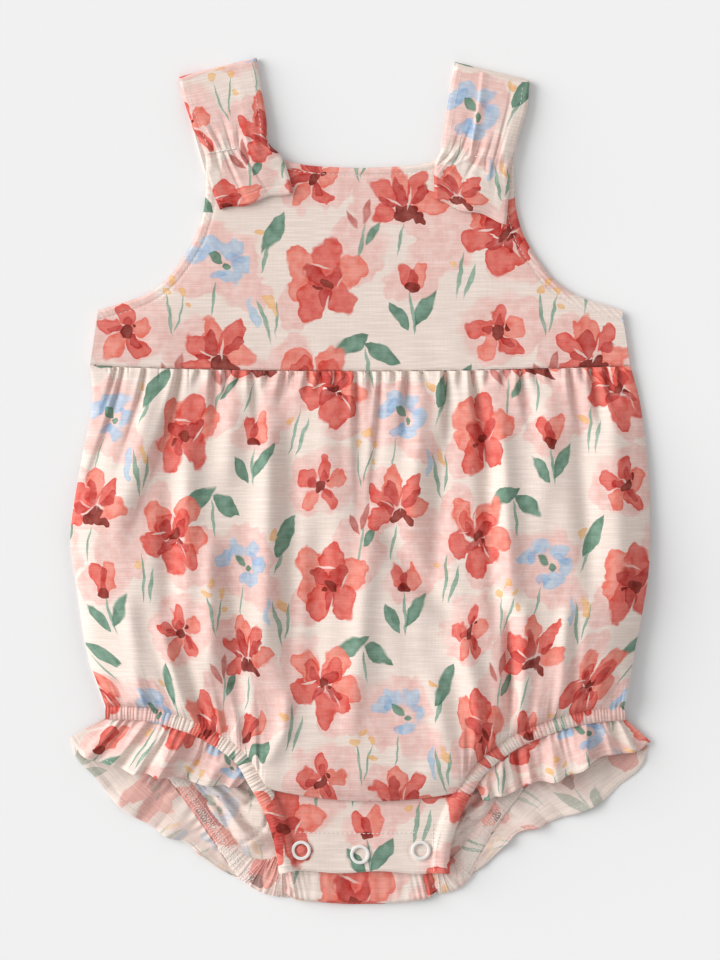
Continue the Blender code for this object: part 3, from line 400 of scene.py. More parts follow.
# One repeat of the print is a half-drop cell. Motifs sit in it by their middles, and
# each is painted in dabs: length and width are half-axes, turned anticlockwise.
REPEAT_ACROSS = 103.0
REPEAT_UP = 168.0
PRINT_SIZE = 0.88          # the print is this share of the size in its tables
Dab = namedtuple("Dab", "x y length width turn")
MOTIFS = table(
    "name across up dabs",
    # a loose round rosette with two rings of petals
    ("rosette", -24.0, 52.0, {
        "blush": [(13, -12, 25, 16, 30), (-15, 13, 19, 13, 60)],
        "petal": [(-10, 10.5, 11, 8.4, 130), (8.5, 12.5, 11, 8, 42), (14.5, -2, 9.4, 8, 0)],
        "coral": [(-14, -4.5, 9, 7.6, 190), (-1, -14, 10, 8.4, 84), (9.5, -11, 7.4, 6.4, -50),
                  (-6, 6.5, 8.4, 6.2, 125), (6.4, 7.2, 7.8, 6, 45)],
        "rose": [(-5, 4, 6.2, 3.4, 122), (5.5, 4.5, 6.2, 3.4, 48), (-4.4, -5.4, 6.4, 3.2, 30),
                 (5.6, -5, 5.8, 3.0, 140)],
        "gap": [(-1, 8.4, 6.4, 0.9, 84), (-9.4, 1.6, 5.4, 0.8, 10), (7.4, -8.8, 5.6, 0.8, -64)],
        "wine": [(0.4, 0.4, 4.2, 2.3, 40), (4.2, -2.2, 1.9, 1.4, 0)],
    }),
    # blue blossoms over a pink wash, with a sepal and its dot
    ("cluster", 25.0, 36.0, {
        "blush": [(-4, 1, 29, 21, 12), (13, -15, 18, 12, -20)],
        "sky": [(-13, 4, 7.2, 4.8, 30), (-4, 9.5, 7.0, 5.0, -20), (7, 8, 7.4, 4.8, 20),
                (12, -1, 6.2, 4.6, 70), (5, -8.5, 7.4, 4.4, -10)],
        "azure": [(-8, 6, 5.0, 2.8, 60), (10, 3, 4.8, 3.0, -30), (-1, -8, 5.4, 2.6, 10)],
        "leaf": [(-1.4, 2.4, 5.6, 3.2, -35), (4.6, -2.2, 2.4, 2.2, 0)],
        "stem": [(-3.0, -21.0, 10.0, 0.9, 82)],
    }),
    # an open fan of long petals on a dark heart
    ("fan", 25.0, -17.0, {
        "blush": [(-12, 6, 20, 19, 10), (15, -8, 18, 13, -30)],
        "petal": [(-2.5, 14, 10.6, 6.4, 104), (13, 1.0, 9.2, 6.0, 16)],
        "coral": [(-11, 7, 11.0, 5.6, 140), (7.6, 10.6, 11.0, 5.6, 58),
                  (-12.5, -4.5, 7.6, 5.0, 196)],
        "rose": [(-3.2, 8.4, 9.0, 3.6, 108), (8.8, 5.6, 6.8, 2.8, 44),
                 (-8.4, 1.6, 5.8, 2.6, 168)],
        "wine": [(0.2, -3.4, 6.6, 4.0, 12), (7.4, -6.8, 4.8, 2.7, -40)],
        "gap": [(2.4, 4.6, 7.2, 0.9, 80), (-6.4, 2.8, 5.8, 0.8, 150)],
        "stem": [(-3.0, -19.0, 11.0, 1.0, 76)],
    }),
    # a small open flower on a wide pink wash
    ("daisy", -27.0, -3.0, {
        "blush": [(2, 3, 27, 21, 20)],
        "coral": [(0, 9.5, 7.2, 5.4, 92), (6.2, -7.6, 7.4, 5.0, -48), (-9.6, 2.8, 7.4, 5.2, 162)],
        "petal": [(9.4, 3.2, 7.0, 5.2, 22), (-5.4, -8.4, 7.4, 5.0, 236)],
        "rose": [(0.6, 5.4, 4.4, 2.6, 92), (4.8, -4.6, 4.6, 2.4, -48),
                 (-5.2, 0.6, 4.2, 2.4, 170)],
        "wine": [(0.2, -0.4, 4.2, 3.0, 60), (4.8, 3.8, 1.8, 1.3, 40)],
    }),
    # a heavy bloom seen from the side
    ("peony", -20.0, -58.0, {
        "blush": [(17, 13, 24, 17, 40), (-14, -12, 16, 12, 60)],
        "petal": [(-11, 9, 11.6, 9.6, 120), (14, 5, 10.6, 9.0, 30), (-13, -4, 7.6, 7.4, 0)],
        "coral": [(2, 13, 10.4, 9.2, 80), (9, -10, 11.2, 8.0, -70), (-6, -12, 11.4, 8.0, -100),
                  (0, 1, 10.0, 7.6, 20)],
        "rose": [(-5, 2.6, 8.2, 4.6, 150), (6, 2.0, 7.2, 4.8, 40), (0, -7.8, 7.0, 3.6, 95)],
        "gap": [(-2.5, 7.8, 7.2, 0.9, -12), (1.6, -13.6, 6.6, 0.9, 84), (9.4, 0.0, 6.0, 0.8, 60)],
        "wine": [(1.6, -2.0, 4.4, 2.8, -30), (-4.2, -4.4, 2.2, 1.4, 20)],
    }),
    # a closed bud on a long stem
    ("tulip", 28.0, -64.0, {
        "blush": [(1, 6, 17, 13, 10)],
        "petal": [(4.4, 8.8, 9.4, 5.0, 70)],
        "coral": [(-3.4, 8.4, 9.2, 4.6, 110)],
        "rose": [(0.4, 6.4, 6.8, 2.8, 88)],
        "wine": [(0.0, 1.2, 4.6, 2.8, 0)],
        "stem": [(1.2, -12, 13.0, 1.2, 96)],
        "leaf": [(8.0, -9.0, 12.0, 4.6, 58), (-6.6, -14.0, 10.0, 3.8, 124)],
    }),
    # yellow berries on thin stalks
    ("berries", 0.0, 15.0, {
        "stem": [(-2.4, -8.0, 13.0, 1.2, 100), (3.4, -7.0, 11.5, 1.0, 76)],
        "bud": [(-4.4, 5.6, 3.0, 2.5, 0), (5.8, 5.4, 2.8, 2.4, 0), (0.6, 11.0, 2.8, 2.4, 0),
                (8.0, -3.0, 2.5, 2.1, 0)],
    }),
    # thin sprigs, leaves and strokes between the flowers
    ("sprig", 1.0, -34.0, {
        "blush": [(-6.0, 0.0, 17.0, 12.0, 60)],
        "stem": [(0.0, -3.0, 14.0, 1.2, 80)],
        "leaf": [(6.0, 2.0, 8.4, 3.0, 56)],
        "rust": [(-4.8, 9.0, 7.4, 2.6, 118), (2.6, 13.4, 8.6, 2.8, 74)],
    }),
    ("leaves", 3.0, 74.0, {
        "leaf": [(-8.4, 0.0, 12.6, 5.6, 26), (9.2, -4.6, 12.0, 5.2, -32)],
        "stem": [(1.0, -12.0, 11.5, 1.2, 98)],
    }),
    ("stroke", 49.0, 6.0, {
        "sky": [(-4.2, 3.0, 9.4, 1.9, 98)],
        "stem": [(1.4, -3.0, 15.4, 1.5, 106), (7.4, -2.0, 11.0, 1.2, 88)],
        "bud": [(4.2, 7.4, 6.0, 2.2, 112)],
    }),
    ("catkin", -48.0, -34.0, {
        "leaf": [(0.0, 2.0, 14.0, 5.0, 64)],
        "stem": [(-3.8, -11.0, 10.0, 1.3, 70)],
        "bud": [(-7.6, 3.4, 2.9, 2.3, 0)],
    }),
    ("wash", 44.0, -42.0, {
        "blush": [(0.0, 0.0, 21.0, 16.0, 30)],
    }),
    ("reeds", -46.0, 28.0, {
        "stem": [(-2.0, 0.0, 15.0, 1.3, 82), (3.4, -3.0, 12.0, 1.6, 74)],
        "bud": [(-6.0, 7.0, 2.7, 2.2, 0)],
    }),
)
# Order of painting, edge softness, strength, how much a dab pools at its rim, and
# whether it is a pointed stroke of the brush.
TONES = table(
    "name soft strength pool pointed",
    ("blush", 0.34, 0.92, 0.15, False), ("sky", 0.36, 0.84, 0.3, False),
    ("azure", 0.4, 0.6, 0.3, False), ("stem", 0.4, 0.85, 0.2, True),
    ("leaf", 0.24, 0.9, 0.3, True), ("bud", 0.3, 0.85, 0.3, False),
    ("petal", 0.24, 0.92, 0.55, False), ("coral", 0.21, 0.93, 0.55, False),
    ("rose", 0.26, 0.88, 0.4, False), ("rust", 0.3, 0.85, 0.3, True),
    ("wine", 0.18, 0.96, 0.1, False), ("gap", 0.6, 0.8, 0.0, True),
)


# ------------------------------------------------------------------ settings

def dye(name, description, default):
    return bpy.props.FloatVectorProperty(name=name, description=description, default=default,
                                         subtype="COLOR", size=3, min=0.0, max=1.0)


class RomperCloth(bpy.types.PropertyGroup):
    cream: dye("Cloth", "Undyed ground of the linen", (0.825, 0.703, 0.635))
    blush: dye("Blush", "Pale pink wash behind the flowers", (0.83, 0.56, 0.515))
    sky: dye("Sky", "Pale blue blossoms", (0.42, 0.56, 0.70))
    azure: dye("Azure", "Deeper blue of the blossoms", (0.27, 0.44, 0.66))
    stem: dye("Stem", "Thin green stems", (0.20, 0.37, 0.28))
    leaf: dye("Leaf", "Leaves", (0.085, 0.24, 0.165))
    bud: dye("Bud", "Yellow berries", (0.84, 0.49, 0.21))
    petal: dye("Petal", "Pale outer petals", (0.80, 0.215, 0.16))
    coral: dye("Coral", "Petals", (0.69, 0.10, 0.075))
    rose: dye("Rose", "Inner petals", (0.50, 0.04, 0.034))
    rust: dye("Rust", "Dry two-stroke sprigs", (0.52, 0.13, 0.11))
    wine: dye("Wine", "Dark hearts of the flowers", (0.23, 0.011, 0.004))
    gap: dye("Gap", "Bare slits between petals", (0.84, 0.66, 0.60))
    thread: dye("Thread", "Sewing thread", (0.86, 0.82, 0.77))
    wall: bpy.props.FloatProperty(name="Cloth thickness", description="Thickness of one layer",
                                  default=0.0007, unit="LENGTH", min=0.0003, max=0.002)
    slub: bpy.props.FloatProperty(name="Slub", description="Depth of the uneven yarns",
                                  default=0.45, min=0.0, max=1.0)


class RomperStage(bpy.types.PropertyGroup):
    floor: dye("Floor", "Plain surface that the garment lies on", (0.86, 0.86, 0.86))
    key_strength: bpy.props.FloatProperty(name="Key light", description="Strength of the soft key",
                                          default=3.11, min=0.0)
    key_spread: bpy.props.FloatProperty(name="Key spread", description="Width of the soft key",
                                        default=0.873, subtype="ANGLE", min=0.0, max=math.pi)
    fill: bpy.props.FloatProperty(name="Fill", description="Strength of the even light all round",
                                  default=0.602, min=0.0)
    camera_height: bpy.props.FloatProperty(name="Camera height", default=1.6, unit="LENGTH",
                                           description="Height of the camera over the surface")
    view_length: bpy.props.FloatProperty(name="View length", default=0.4675, unit="LENGTH",
                                         description="Length of surface that the picture shows")


# ------------------------------------------------------------------ small helpers

def mix(low, high, share):
    return low + (high - low) * share


def ease(share):
    share = min(max(share, 0.0), 1.0)
    return share * share * (3.0 - 2.0 * share)


def bell(distance, width):
    return math.exp(-(distance / width) ** 2)


def uneven(index, low):
    """A repeatable share between low and 1, so that gathers differ in size."""
    return mix(low, 1.0, 0.5 + 0.5 * math.sin(index * 2.4 + 0.7 * math.sin(index * 1.3)))


def smooth(rows, column, place):
    """One column, read smoothly at a place along the table's first column."""
    keys = [row[0] for row in rows]
    place = min(max(place, keys[0]), keys[-1])
    cell = 0
    while cell < len(keys) - 2 and place > keys[cell + 1]:
        cell += 1

    def value(index):
        return getattr(rows[index], column)

    def slope(index):
        before, after = max(index - 1, 0), min(index + 1, len(keys) - 1)
        return (value(after) - value(before)) / (keys[after] - keys[before])

    step = keys[cell + 1] - keys[cell]
    share = (place - keys[cell]) / step
    square, cube = share ** 2, share ** 3
    return ((2 * cube - 3 * square + 1) * value(cell)
            + (cube - 2 * square + share) * step * slope(cell)
            + (3 * square - 2 * cube) * value(cell + 1)
            + (cube - square) * step * slope(cell + 1))


class Route:
    """A plan curve read from a table, with its offsets to the body's side."""

    SAMPLES = 400
    STEP = 0.01

    def __init__(self, rows, inward):
        self.rows = rows
        self.inward = inward
        self.end = rows[-1].at
        places = [self.end * index / (self.SAMPLES - 1) for index in range(self.SAMPLES)]
        spots = [self.spot(place) for place in places]
        self.run = [0.0]
        for before, after in zip(spots, spots[1:]):
            self.run.append(self.run[-1] + (after - before).length)
        self.places = places
        self.length = self.run[-1]

    def spot(self, place):
        return Vector((smooth(self.rows, "x", place), smooth(self.rows, "y", place), 0.0))

    def place_at(self, share):
        return float(np.interp(share * self.length, self.run, self.places))

    def run_at(self, place):
        return float(np.interp(place, self.places, self.run))

    def offset(self, place, distance):
        ahead = (self.spot(min(place + self.STEP, self.end))
                 - self.spot(max(place - self.STEP, 0.0)))
        aside = Vector((-ahead.y, ahead.x, 0.0)).normalized() * self.inward
        return self.spot(place) + aside * distance


def routes(lines):
    return {side: Route(lines[side], -HAND[side]) for side in SIDES}


LEG, BACK_LEG, BACK_BAND = routes(LEG_EDGE), routes(BACK_LEG_LINE), routes(BACK_BAND_LINE)


END_PULL = 0.6


def even(count):
    return [index / (count - 1) for index in range(count)]


def closer_at_ends(count):
    """Even places drawn towards both ends, where seams need finer cloth."""
    return [share - END_PULL * math.sin(2.0 * math.pi * share) / (2.0 * math.pi)
            for share in even(count)]


# ------------------------------------------------------------------ shader wiring

class Wire:
    """One output of a finish under construction, used in sums and products."""

    def __init__(self, bench, socket):
        self.bench, self.socket = bench, socket

    def __add__(self, other):
        return self.bench.sum("ADD", self, other)

    __radd__ = __add__

    def __sub__(self, other):
        return self.bench.sum("SUBTRACT", self, other)

    def __rsub__(self, other):
        return self.bench.sum("SUBTRACT", other, self)

    def __mul__(self, other):
        return self.bench.sum("MULTIPLY", self, other)

    __rmul__ = __mul__

    def __abs__(self):
        return self.bench.sum("ABSOLUTE", self)


class Bench:
    """Builds one node material; every node comes from node()."""

    def __init__(self, name):
        self.material = bpy.data.materials.new(name)
        self.material.use_nodes = True
        self.tree = self.material.node_tree
        self.shader = self.tree.nodes["Principled BSDF"]

    def node(self, kind, settings=None, values=None, output=0):
        made = self.tree.nodes.new(kind)
        for key, value in (settings or {}).items():
            setattr(made, key, value)
        for key, value in (values or {}).items():
            self.plug(made.inputs[key], value)
        return Wire(self, made.outputs[output])

    def plug(self, socket, value):
        if isinstance(value, Wire):
            self.tree.links.new(value.socket, socket)
        else:
            socket.default_value = value

    def sum(self, operation, *values):
        return self.node("ShaderNodeMath", {"operation": operation}, dict(enumerate(values)))

    def vector(self, operation, *values, output=0):
        return self.node("ShaderNodeVectorMath", {"operation": operation},
                         dict(enumerate(values)), output)

    def scale(self, vector, factor):
        return self.node("ShaderNodeVectorMath", {"operation": "SCALE"},
                         {0: vector, "Scale": factor})

    def step_up(self, value, low, high):
        return self.node("ShaderNodeMapRange", {"interpolation_type": "SMOOTHSTEP"},
                         {"Value": value, "From Min": low, "From Max": high})

    def blend(self, share, low, high, how="MIX"):
        return self.node("ShaderNodeMix", {"data_type": "RGBA", "blend_type": how,
                                           "clamp_factor": True},
                         {0: share, 6: low, 7: high}, output=2)

    def noise(self, vector, scale, detail, output=0, dimensions="2D"):
        return self.node("ShaderNodeTexNoise", {"noise_dimensions": dimensions},
                         {"Vector": vector, "Scale": scale, "Detail": detail}, output)

    def grain(self, scale, detail):
        """Fine unevenness all through a solid finish."""
        place = self.node("ShaderNodeTexCoord", output=3)
        return self.noise(place, scale, detail, dimensions="3D")

    def bump(self, height, strength, distance):
        return self.node("ShaderNodeBump", values={"Strength": strength, "Distance": distance,
                                                   "Height": height})

    def finish(self, **sockets):
        for name, value in sockets.items():
            self.plug(self.shader.inputs[name.replace("_", " ")], value)
        return self.material


def opaque(colour):
    return (*colour, 1.0)


def half_drop(bench, cloth, motif):
    """Cell coordinates of one motif, in millimetres, with 1 as the third value."""
    shifted = bench.vector("SUBTRACT", cloth, (motif.across, motif.up, 0.0))
    x = bench.node("ShaderNodeSeparateXYZ", values={0: shifted})
    y = Wire(bench, x.socket.node.outputs[1])
    near_x = bench.sum("WRAP", x, REPEAT_ACROSS / 2, -REPEAT_ACROSS / 2)
    drop = bench.sum("MULTIPLY_ADD", x - near_x, REPEAT_UP / (2 * REPEAT_ACROSS), y)
    near_y = bench.sum("WRAP", drop, REPEAT_UP / 2, -REPEAT_UP / 2)
    return bench.node("ShaderNodeCombineXYZ", values={0: near_x, 1: near_y, 2: 1.0})


def dab_field(bench, spot, dab, pointed):
    """0 in the middle of a dab and 1 on its rim, which is an oval or a pointed stroke."""
    turn = math.radians(dab.turn)
    cos, sin = math.cos(turn), math.sin(turn)
    along = bench.vector("DOT_PRODUCT", spot,
                         (cos / dab.length, sin / dab.length,
                          -(dab.x * cos + dab.y * sin) / dab.length), output=1)
    aside = bench.vector("DOT_PRODUCT", spot,
                         (-sin / dab.width, cos / dab.width,
                          (dab.x * sin - dab.y * cos) / dab.width), output=1)
    return bench.sum("MULTIPLY_ADD", along, along, abs(aside) if pointed else aside * aside)


OVAL_SWAY = 10.0          # how far the brush wanders, in mm, in a petal and in a stroke
STROKE_SWAY = 4.5
OVAL_RAGGED = 0.6         # how ragged the rim is
STROKE_RAGGED = 0.3


def paint_flowers(bench, cloth_mm, cloth, ground, wash_share):
    """The print over the ground colour: dabs of each tone in turn, with wet edges."""
    wobble = bench.vector("SUBTRACT", bench.noise(cloth_mm, 0.075, 2.0, output=1), (0.5, 0.5, 0.5))
    brush = bench.noise(cloth_mm, 0.17, 5.0)
    feather = 0.45 + 1.5 * bench.step_up(bench.noise(cloth_mm, 0.045, 1.0), 0.45, 0.65)
    spots = {}
    for pointed, sway in ((False, OVAL_SWAY), (True, STROKE_SWAY)):
        moved = bench.vector("MULTIPLY_ADD", wobble, (sway, sway, 0.0), cloth_mm)
        tones = {tone.name for tone in TONES if tone.pointed == pointed}
        for motif in MOTIFS:
            if tones & set(motif.dabs):
                spots[motif.name, pointed] = half_drop(bench, moved, motif)
    colour = ground
    for tone in TONES:
        rims = None
        for motif in MOTIFS:
            for dab in motif.dabs.get(tone.name, ()):
                field = dab_field(bench, spots[motif.name, tone.pointed], Dab(*dab), tone.pointed)
                rims = field if rims is None else bench.sum("MINIMUM", rims, field)
        inside = 1.0 + (brush - 0.5) * (STROKE_RAGGED if tone.pointed else OVAL_RAGGED) - rims
        strength = tone.strength * (wash_share if tone.name == "blush" else 1.0)
        wet = bench.step_up(inside, 0.0, feather * tone.soft) * strength
        tint = getattr(cloth, tone.name)
        deep = tuple(value ** 1.3 for value in tint)
        pale = tuple(mix(value ** 0.88, ground[index], 0.06) for index, value in enumerate(tint))
        pool = bench.step_up(inside, 0.05, 0.75) * tone.pool + brush * 2.2 - (0.6 + tone.pool / 2)
        wash = bench.blend(pool, opaque(deep), opaque(pale))
        colour = bench.blend(wet, colour, wash)
    return colour


YARN_LOW, YARN_HIGH = (0.915, 0.9, 0.885, 1.0), (1.02, 1.02, 1.02, 1.0)
YARN_HEIGHT = 0.00018
WRONG_SIDE_WASH = 0.6     # share of the pink wash that comes through the cloth


def linen(name, cloth, wrong_side=0.0):
    """Slubbed plain weave; wrong_side is how much paler the print comes through."""
    bench = Bench(name)
    cloth_mm = bench.scale(bench.node("ShaderNodeUVMap", {"uv_map": "cloth"}), 1.0 / MM)
    weft = bench.noise(bench.vector("MULTIPLY", cloth_mm, (0.045, 1.7, 0.0)), 1.0, 2.0)
    warp = bench.noise(bench.vector("MULTIPLY", cloth_mm, (1.6, 0.07, 0.0)), 1.0, 1.0)
    ground = opaque(cloth.cream)
    colour = paint_flowers(bench, bench.scale(cloth_mm, 1.0 / PRINT_SIZE), cloth, ground,
                           WRONG_SIDE_WASH if wrong_side else 1.0)
    if wrong_side:
        colour = bench.blend(wrong_side, colour, ground)
    yarns = bench.step_up(weft, 0.42, 0.58) * 0.78 + bench.step_up(warp, 0.4, 0.64) * 0.22
    colour = bench.blend(1.0, colour, bench.blend(yarns, YARN_LOW, YARN_HIGH), "MULTIPLY")
    return bench.finish(Base_Color=colour, Roughness=0.86,
                        Normal=bench.bump(yarns, cloth.slub, YARN_HEIGHT), Sheen_Weight=0.02,
                        Sheen_Roughness=0.5, Specular_IOR_Level=0.1)


# ------------------------------------------------------------------ making cloth

def bare_scene():
    bpy.ops.object.select_all(action="DESELECT")


def upwards(face):
    """How far a face looks up, by its area."""
    return face.normal.z * face.area


SHARP_ANGLE = math.radians(60.0)


def sew_panel(name, shape, across_stops, down_stops, *, wall, finishes, uv, nodes,
              floor=None, flat_under=False, soften=None, facing=upwards):
    """A panel of cloth in two finishes, outer first, from its shape function in mm.

    shape(across, down) gives a point of the outer side and uv(across, down, point) its
    place in the cloth, in mm. The faces turn so that facing adds up to more than 0, the
    wall grows inwards from them, and the panel replaces nodes.
    """
    bare_scene()
    columns, rows = len(across_stops), len(down_stops)
    bpy.ops.mesh.primitive_grid_add(x_subdivisions=columns - 1, y_subdivisions=rows - 1,
                                    size=1.0)
    panel = bpy.context.object
    panel.name = panel.data.name = name
    mesh = panel.data
    places, points = [], []
    for vertex in mesh.vertices:
        across = across_stops[round((vertex.co.x + 0.5) * (columns - 1))]
        down = down_stops[round((0.5 - vertex.co.y) * (rows - 1))]
        places.append((across, down))
        points.append(shape(across, down))
    if soften:
        points = soften(points)
    for vertex, point in zip(mesh.vertices, points):
        vertex.co = Vector(point) * MM
    layer = mesh.uv_layers[0]
    layer.name = "cloth"
    spots = [uv(*place, point) for place, point in zip(places, points)]
    for loop in mesh.loops:
        spot = spots[loop.vertex_index]
        layer.data[loop.index].uv = (spot[0] * MM, spot[1] * MM)
    mesh.update()
    if sum(facing(face) for face in mesh.polygons) < 0:
        mesh.flip_normals()
    for finish in finishes_of(*finishes):
        mesh.materials.append(finish)
    outer = len(mesh.vertices)
    solid = panel.modifiers.new("wall", "SOLIDIFY")
    solid.thickness = wall * MM
    solid.offset = -1.0
    solid.material_offset = 1
    bpy.ops.object.modifier_apply(modifier="wall")
    if floor is not None:
        for index, vertex in enumerate(panel.data.vertices):
            if flat_under and index >= outer:
                vertex.co.z = floor * MM
            vertex.co.z = max(vertex.co.z, floor * MM)
    bpy.ops.object.shade_smooth_by_angle(angle=SHARP_ANGLE)
    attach(panel, "root")
    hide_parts(*nodes)
    return panel


PRINTED = ("printed_linen", "linen_wrong_side")
TURNED = ("linen_wrong_side", "printed_linen")
DOUBLE = ("printed_linen", "printed_linen")


def finishes_of(*names):
    return [bpy.data.materials[name] for name in names]


# ------------------------------------------------------------------ front and back

def body_span(y):
    left, right = smooth(BODY_OUTLINE, "left", y), smooth(BODY_OUTLINE, "right", y)
    return (left + right) / 2, (right - left) / 2


def waist_y(x):
    return WAIST_Y + WAIST_BOW * (x / WAIST_HALF) ** 2


def front_leg_hem(side, share):
    place = OVERHANG_AT * share
    spot = LEG[side].offset(place, CASING_WIDTH)
    return Vector((spot.x, spot.y, smooth(LEG_EDGE[side], "top_z", place) + HEM_LEDGE))


def front_hem(across):
    """Lower edge of the front: left casing, the bubble's fold, right casing."""
    edge = min(across, 1.0 - across)
    if edge < OVERHANG_FROM:
        return front_leg_hem("left" if across < 0.5 else "right", edge / OVERHANG_FROM)
    share = (across - OVERHANG_FROM) / (1.0 - 2 * OVERHANG_FROM)
    spot = front_leg_hem("left", 1.0).lerp(front_leg_hem("right", 1.0), share)
    spot.y -= OVERHANG_DROP * math.sin(math.pi * share) ** 0.8
    spot.z = mix(spot.z, OVERHANG_Z, ease(min(share, 1.0 - share) * 5.0))
    return spot


def fold_lift(x, y):
    lift = 0.0
    for fold in FRONT_FOLDS:
        share = (fold.high_y - y) / (fold.high_y - fold.low_y)
        if -FOLD_RUN_IN < share < 1.0 + FOLD_RUN_OUT:
            line = mix(fold.top_x, fold.low_x, share)
            if abs(x - line) < FOLD_SPREAD * fold.width:
                fade = (ease((share + FOLD_RUN_IN) / (2 * FOLD_RUN_IN))
                        * ease((1.0 + FOLD_RUN_OUT - share) / (2 * FOLD_RUN_OUT)))
                lift += FOLD_DEPTH * fold.depth * fade * bell(x - line, fold.width)
    return lift


def crease_terms(x, below):
    """Height and hidden cloth that the waist creases give at a distance below the seam."""
    height, hidden = 0.0, 0.0
    start = ease((below + 0.7) / 1.6)
    for crease in WAIST_CREASES:
        share = below / crease.length
        if share > CREASE_END:
            continue
        line = mix(crease.top_x, crease.low_x, share ** 1.3 if share > 0 else 0.0)
        kept = 1.0 - ease(share / CREASE_END)
        width = CREASE_WIDTH * (0.6 + 0.4 * crease.depth / 1.5) * (1.0 + CREASE_SPREAD * share)
        away = x - line
        depth = CREASE_DEPTH * min(crease.depth, CREASE_DEEPEST) * (kept * start)
        height -= depth * bell(away, width * (CREASE_STEEP if away < 0 else CREASE_EASY))
        height += CREASE_LIP * depth * bell(away + 1.9 * width, 1.2 * width)
        loss = CREASE_HIDES * crease.depth * kept
        step = 0.5 + 0.5 * math.tanh(away / (0.6 * width))
        hidden += loss * (step - (x + WAIST_HALF) / (2.0 * WAIST_HALF))
    reach = 4.5 + 2.8 * math.sin(0.37 * x + 1.0)
    slit = abs(math.sin(1.05 * x + 1.6 * math.sin(0.41 * x)))
    height -= start * uneven(x * 0.21, 0.2) * math.exp(-(slit / SLIT_WIDTH) ** 2
                                                       - (below / reach) ** 2)
    return height, hidden


def rib_at(side, along):
    """Number of the elastic's rib at a share of its length, and its height there."""
    rib = along * CASING_RIBS + 0.3 * math.sin(along * 71.0)
    number = int(rib + 0.5) + RIB_SEED[side]
    return number, uneven(number, 0.5) * abs(math.cos(math.pi * rib)) ** RIB_ROUNDNESS


def hem_puckers(across, near):
    """Puckers that run up from a leg casing; near is millimetres from it."""
    edge = min(across, 1.0 - across)
    if edge >= OVERHANG_FROM or near > PUCKER_LIMIT:
        return 0.0
    side = "left" if across < 0.5 else "right"
    seed = PUCKER_SEED[side]
    run = LEG[side].run_at(OVERHANG_AT * edge / OVERHANG_FROM) / LEG[side].length
    number, rib = rib_at(side, run)
    reach = mix(*RIB_REACH, uneven(number * 5, 0.0) ** 2)
    lift = RIB_HEIGHT * rib * math.exp(-(near / reach) ** 1.5)
    along = edge / OVERHANG_FROM * HEM_GATHERS
    first = int(along) - 1
    for index in range(first, first + 4):
        middle = index + 0.5 + 0.4 * math.sin(index * 1.7 + seed)
        lean = 0.25 * math.sin(index * 2.9 + seed) * near / 20.0
        reach = mix(*HEM_REACH, uneven(index + seed, 0.0) ** 2)
        size = HEM_PUCKER * uneven(index * 3 + seed, 0.2) * math.exp(-(near / reach) ** 1.8)
        lift += size * bell(along - middle - lean, PUCKER_WIDTH) * ease((near + 1.5) / 4.0)
    broad = math.sin(2.0 * math.pi * (edge / OVERHANG_FROM * BROAD_PUCKERS + 0.13 * seed))
    lift += BROAD_RISE * broad * math.exp(-(near / BROAD_REACH) ** 2) * ease(near / 5.0)
    return lift * ease((OVERHANG_FROM - edge) / 0.03)


def front_body_point(across, down):
    tuck = max(down - 1.0, 0.0) / (FRONT_TUCK_ROWS[-1] - 1.0)
    down = min(down, 1.0)
    waist_side = 2.0 * across - 1.0
    hem = front_hem(across)
    top = waist_y(waist_side * WAIST_HALF)
    y = mix(top, hem.y, down)
    hem_middle, hem_half = body_span(hem.y)
    hem_side = min(max((hem.x - hem_middle) / hem_half, -1.0), 1.0)
    side = mix(waist_side, hem_side, down ** GATHER_TO_LEG)
    middle, half = body_span(y)
    x = middle + side * half
    rounding = max(1.0 - abs(side) ** SIDE_ROUNDNESS, 0.0) ** 0.5
    level_z = mix(FRONT_WAIST_Z, hem.z, ease(down))
    lifted = max(1.0 - down / SIDE_RISE, 1.0 - (1.0 - down) / SIDE_RETURN, 0.0)
    low_z = mix(mix(SIDE_EDGE_Z, level_z, lifted), level_z, rounding)
    crown = smooth(CROWN, "height", down)
    fullness = ease(crown / FULL_CROWN)
    z = low_z + (crown + fold_lift(x, y) * fullness) * rounding
    length = top - hem.y
    below, near = down * length, (1.0 - down) * length
    creases, _ = crease_terms(x, below)
    z += creases * min(rounding * 1.5, 1.0)
    z += (hem_puckers(across, near) * ease(down * 3.0)
          + fullness * (BODY_RIPPLE * math.sin(x * 0.41 + 2.0 * math.sin(y * 0.07))
                        + BODY_DENTS * noise.noise(Vector((x * 0.1, y * 0.035, 1.0)))))
    edge = min(across, 1.0 - across)
    if tuck:
        if edge < OVERHANG_FROM:
            y += 0.2 * tuck
            z -= 0.4 * tuck
        else:
            roll = tuck * math.pi * ROLL_TURN
            y -= HEM_ROLL * math.sin(roll)
            z -= HEM_ROLL * (1.0 - math.cos(roll))
    return Vector((x, y, z))


def front_body_uv(across, down, point):
    hem = front_hem(across)
    length = waist_y(0.0) - hem.y
    below = min(down, 1.0) * length
    near = length - below
    _, hidden = crease_terms(point[0], below)
    width = (across - 0.5) * BODY_CLOTH_WIDTH
    leg = LEG_MIDDLE if across < 0.5 else 1.0 - LEG_MIDDLE
    edge = min(across, 1.0 - across)
    squeeze = (LEG_SQUEEZE * math.exp(-(near / SQUEEZE_REACH) ** 2)
               * ease((OVERHANG_FROM - edge) / 0.06))
    width += (across - leg) * BODY_CLOTH_WIDTH * squeeze
    return width + hidden, point[1] * BODY_CLOTH_STRETCH


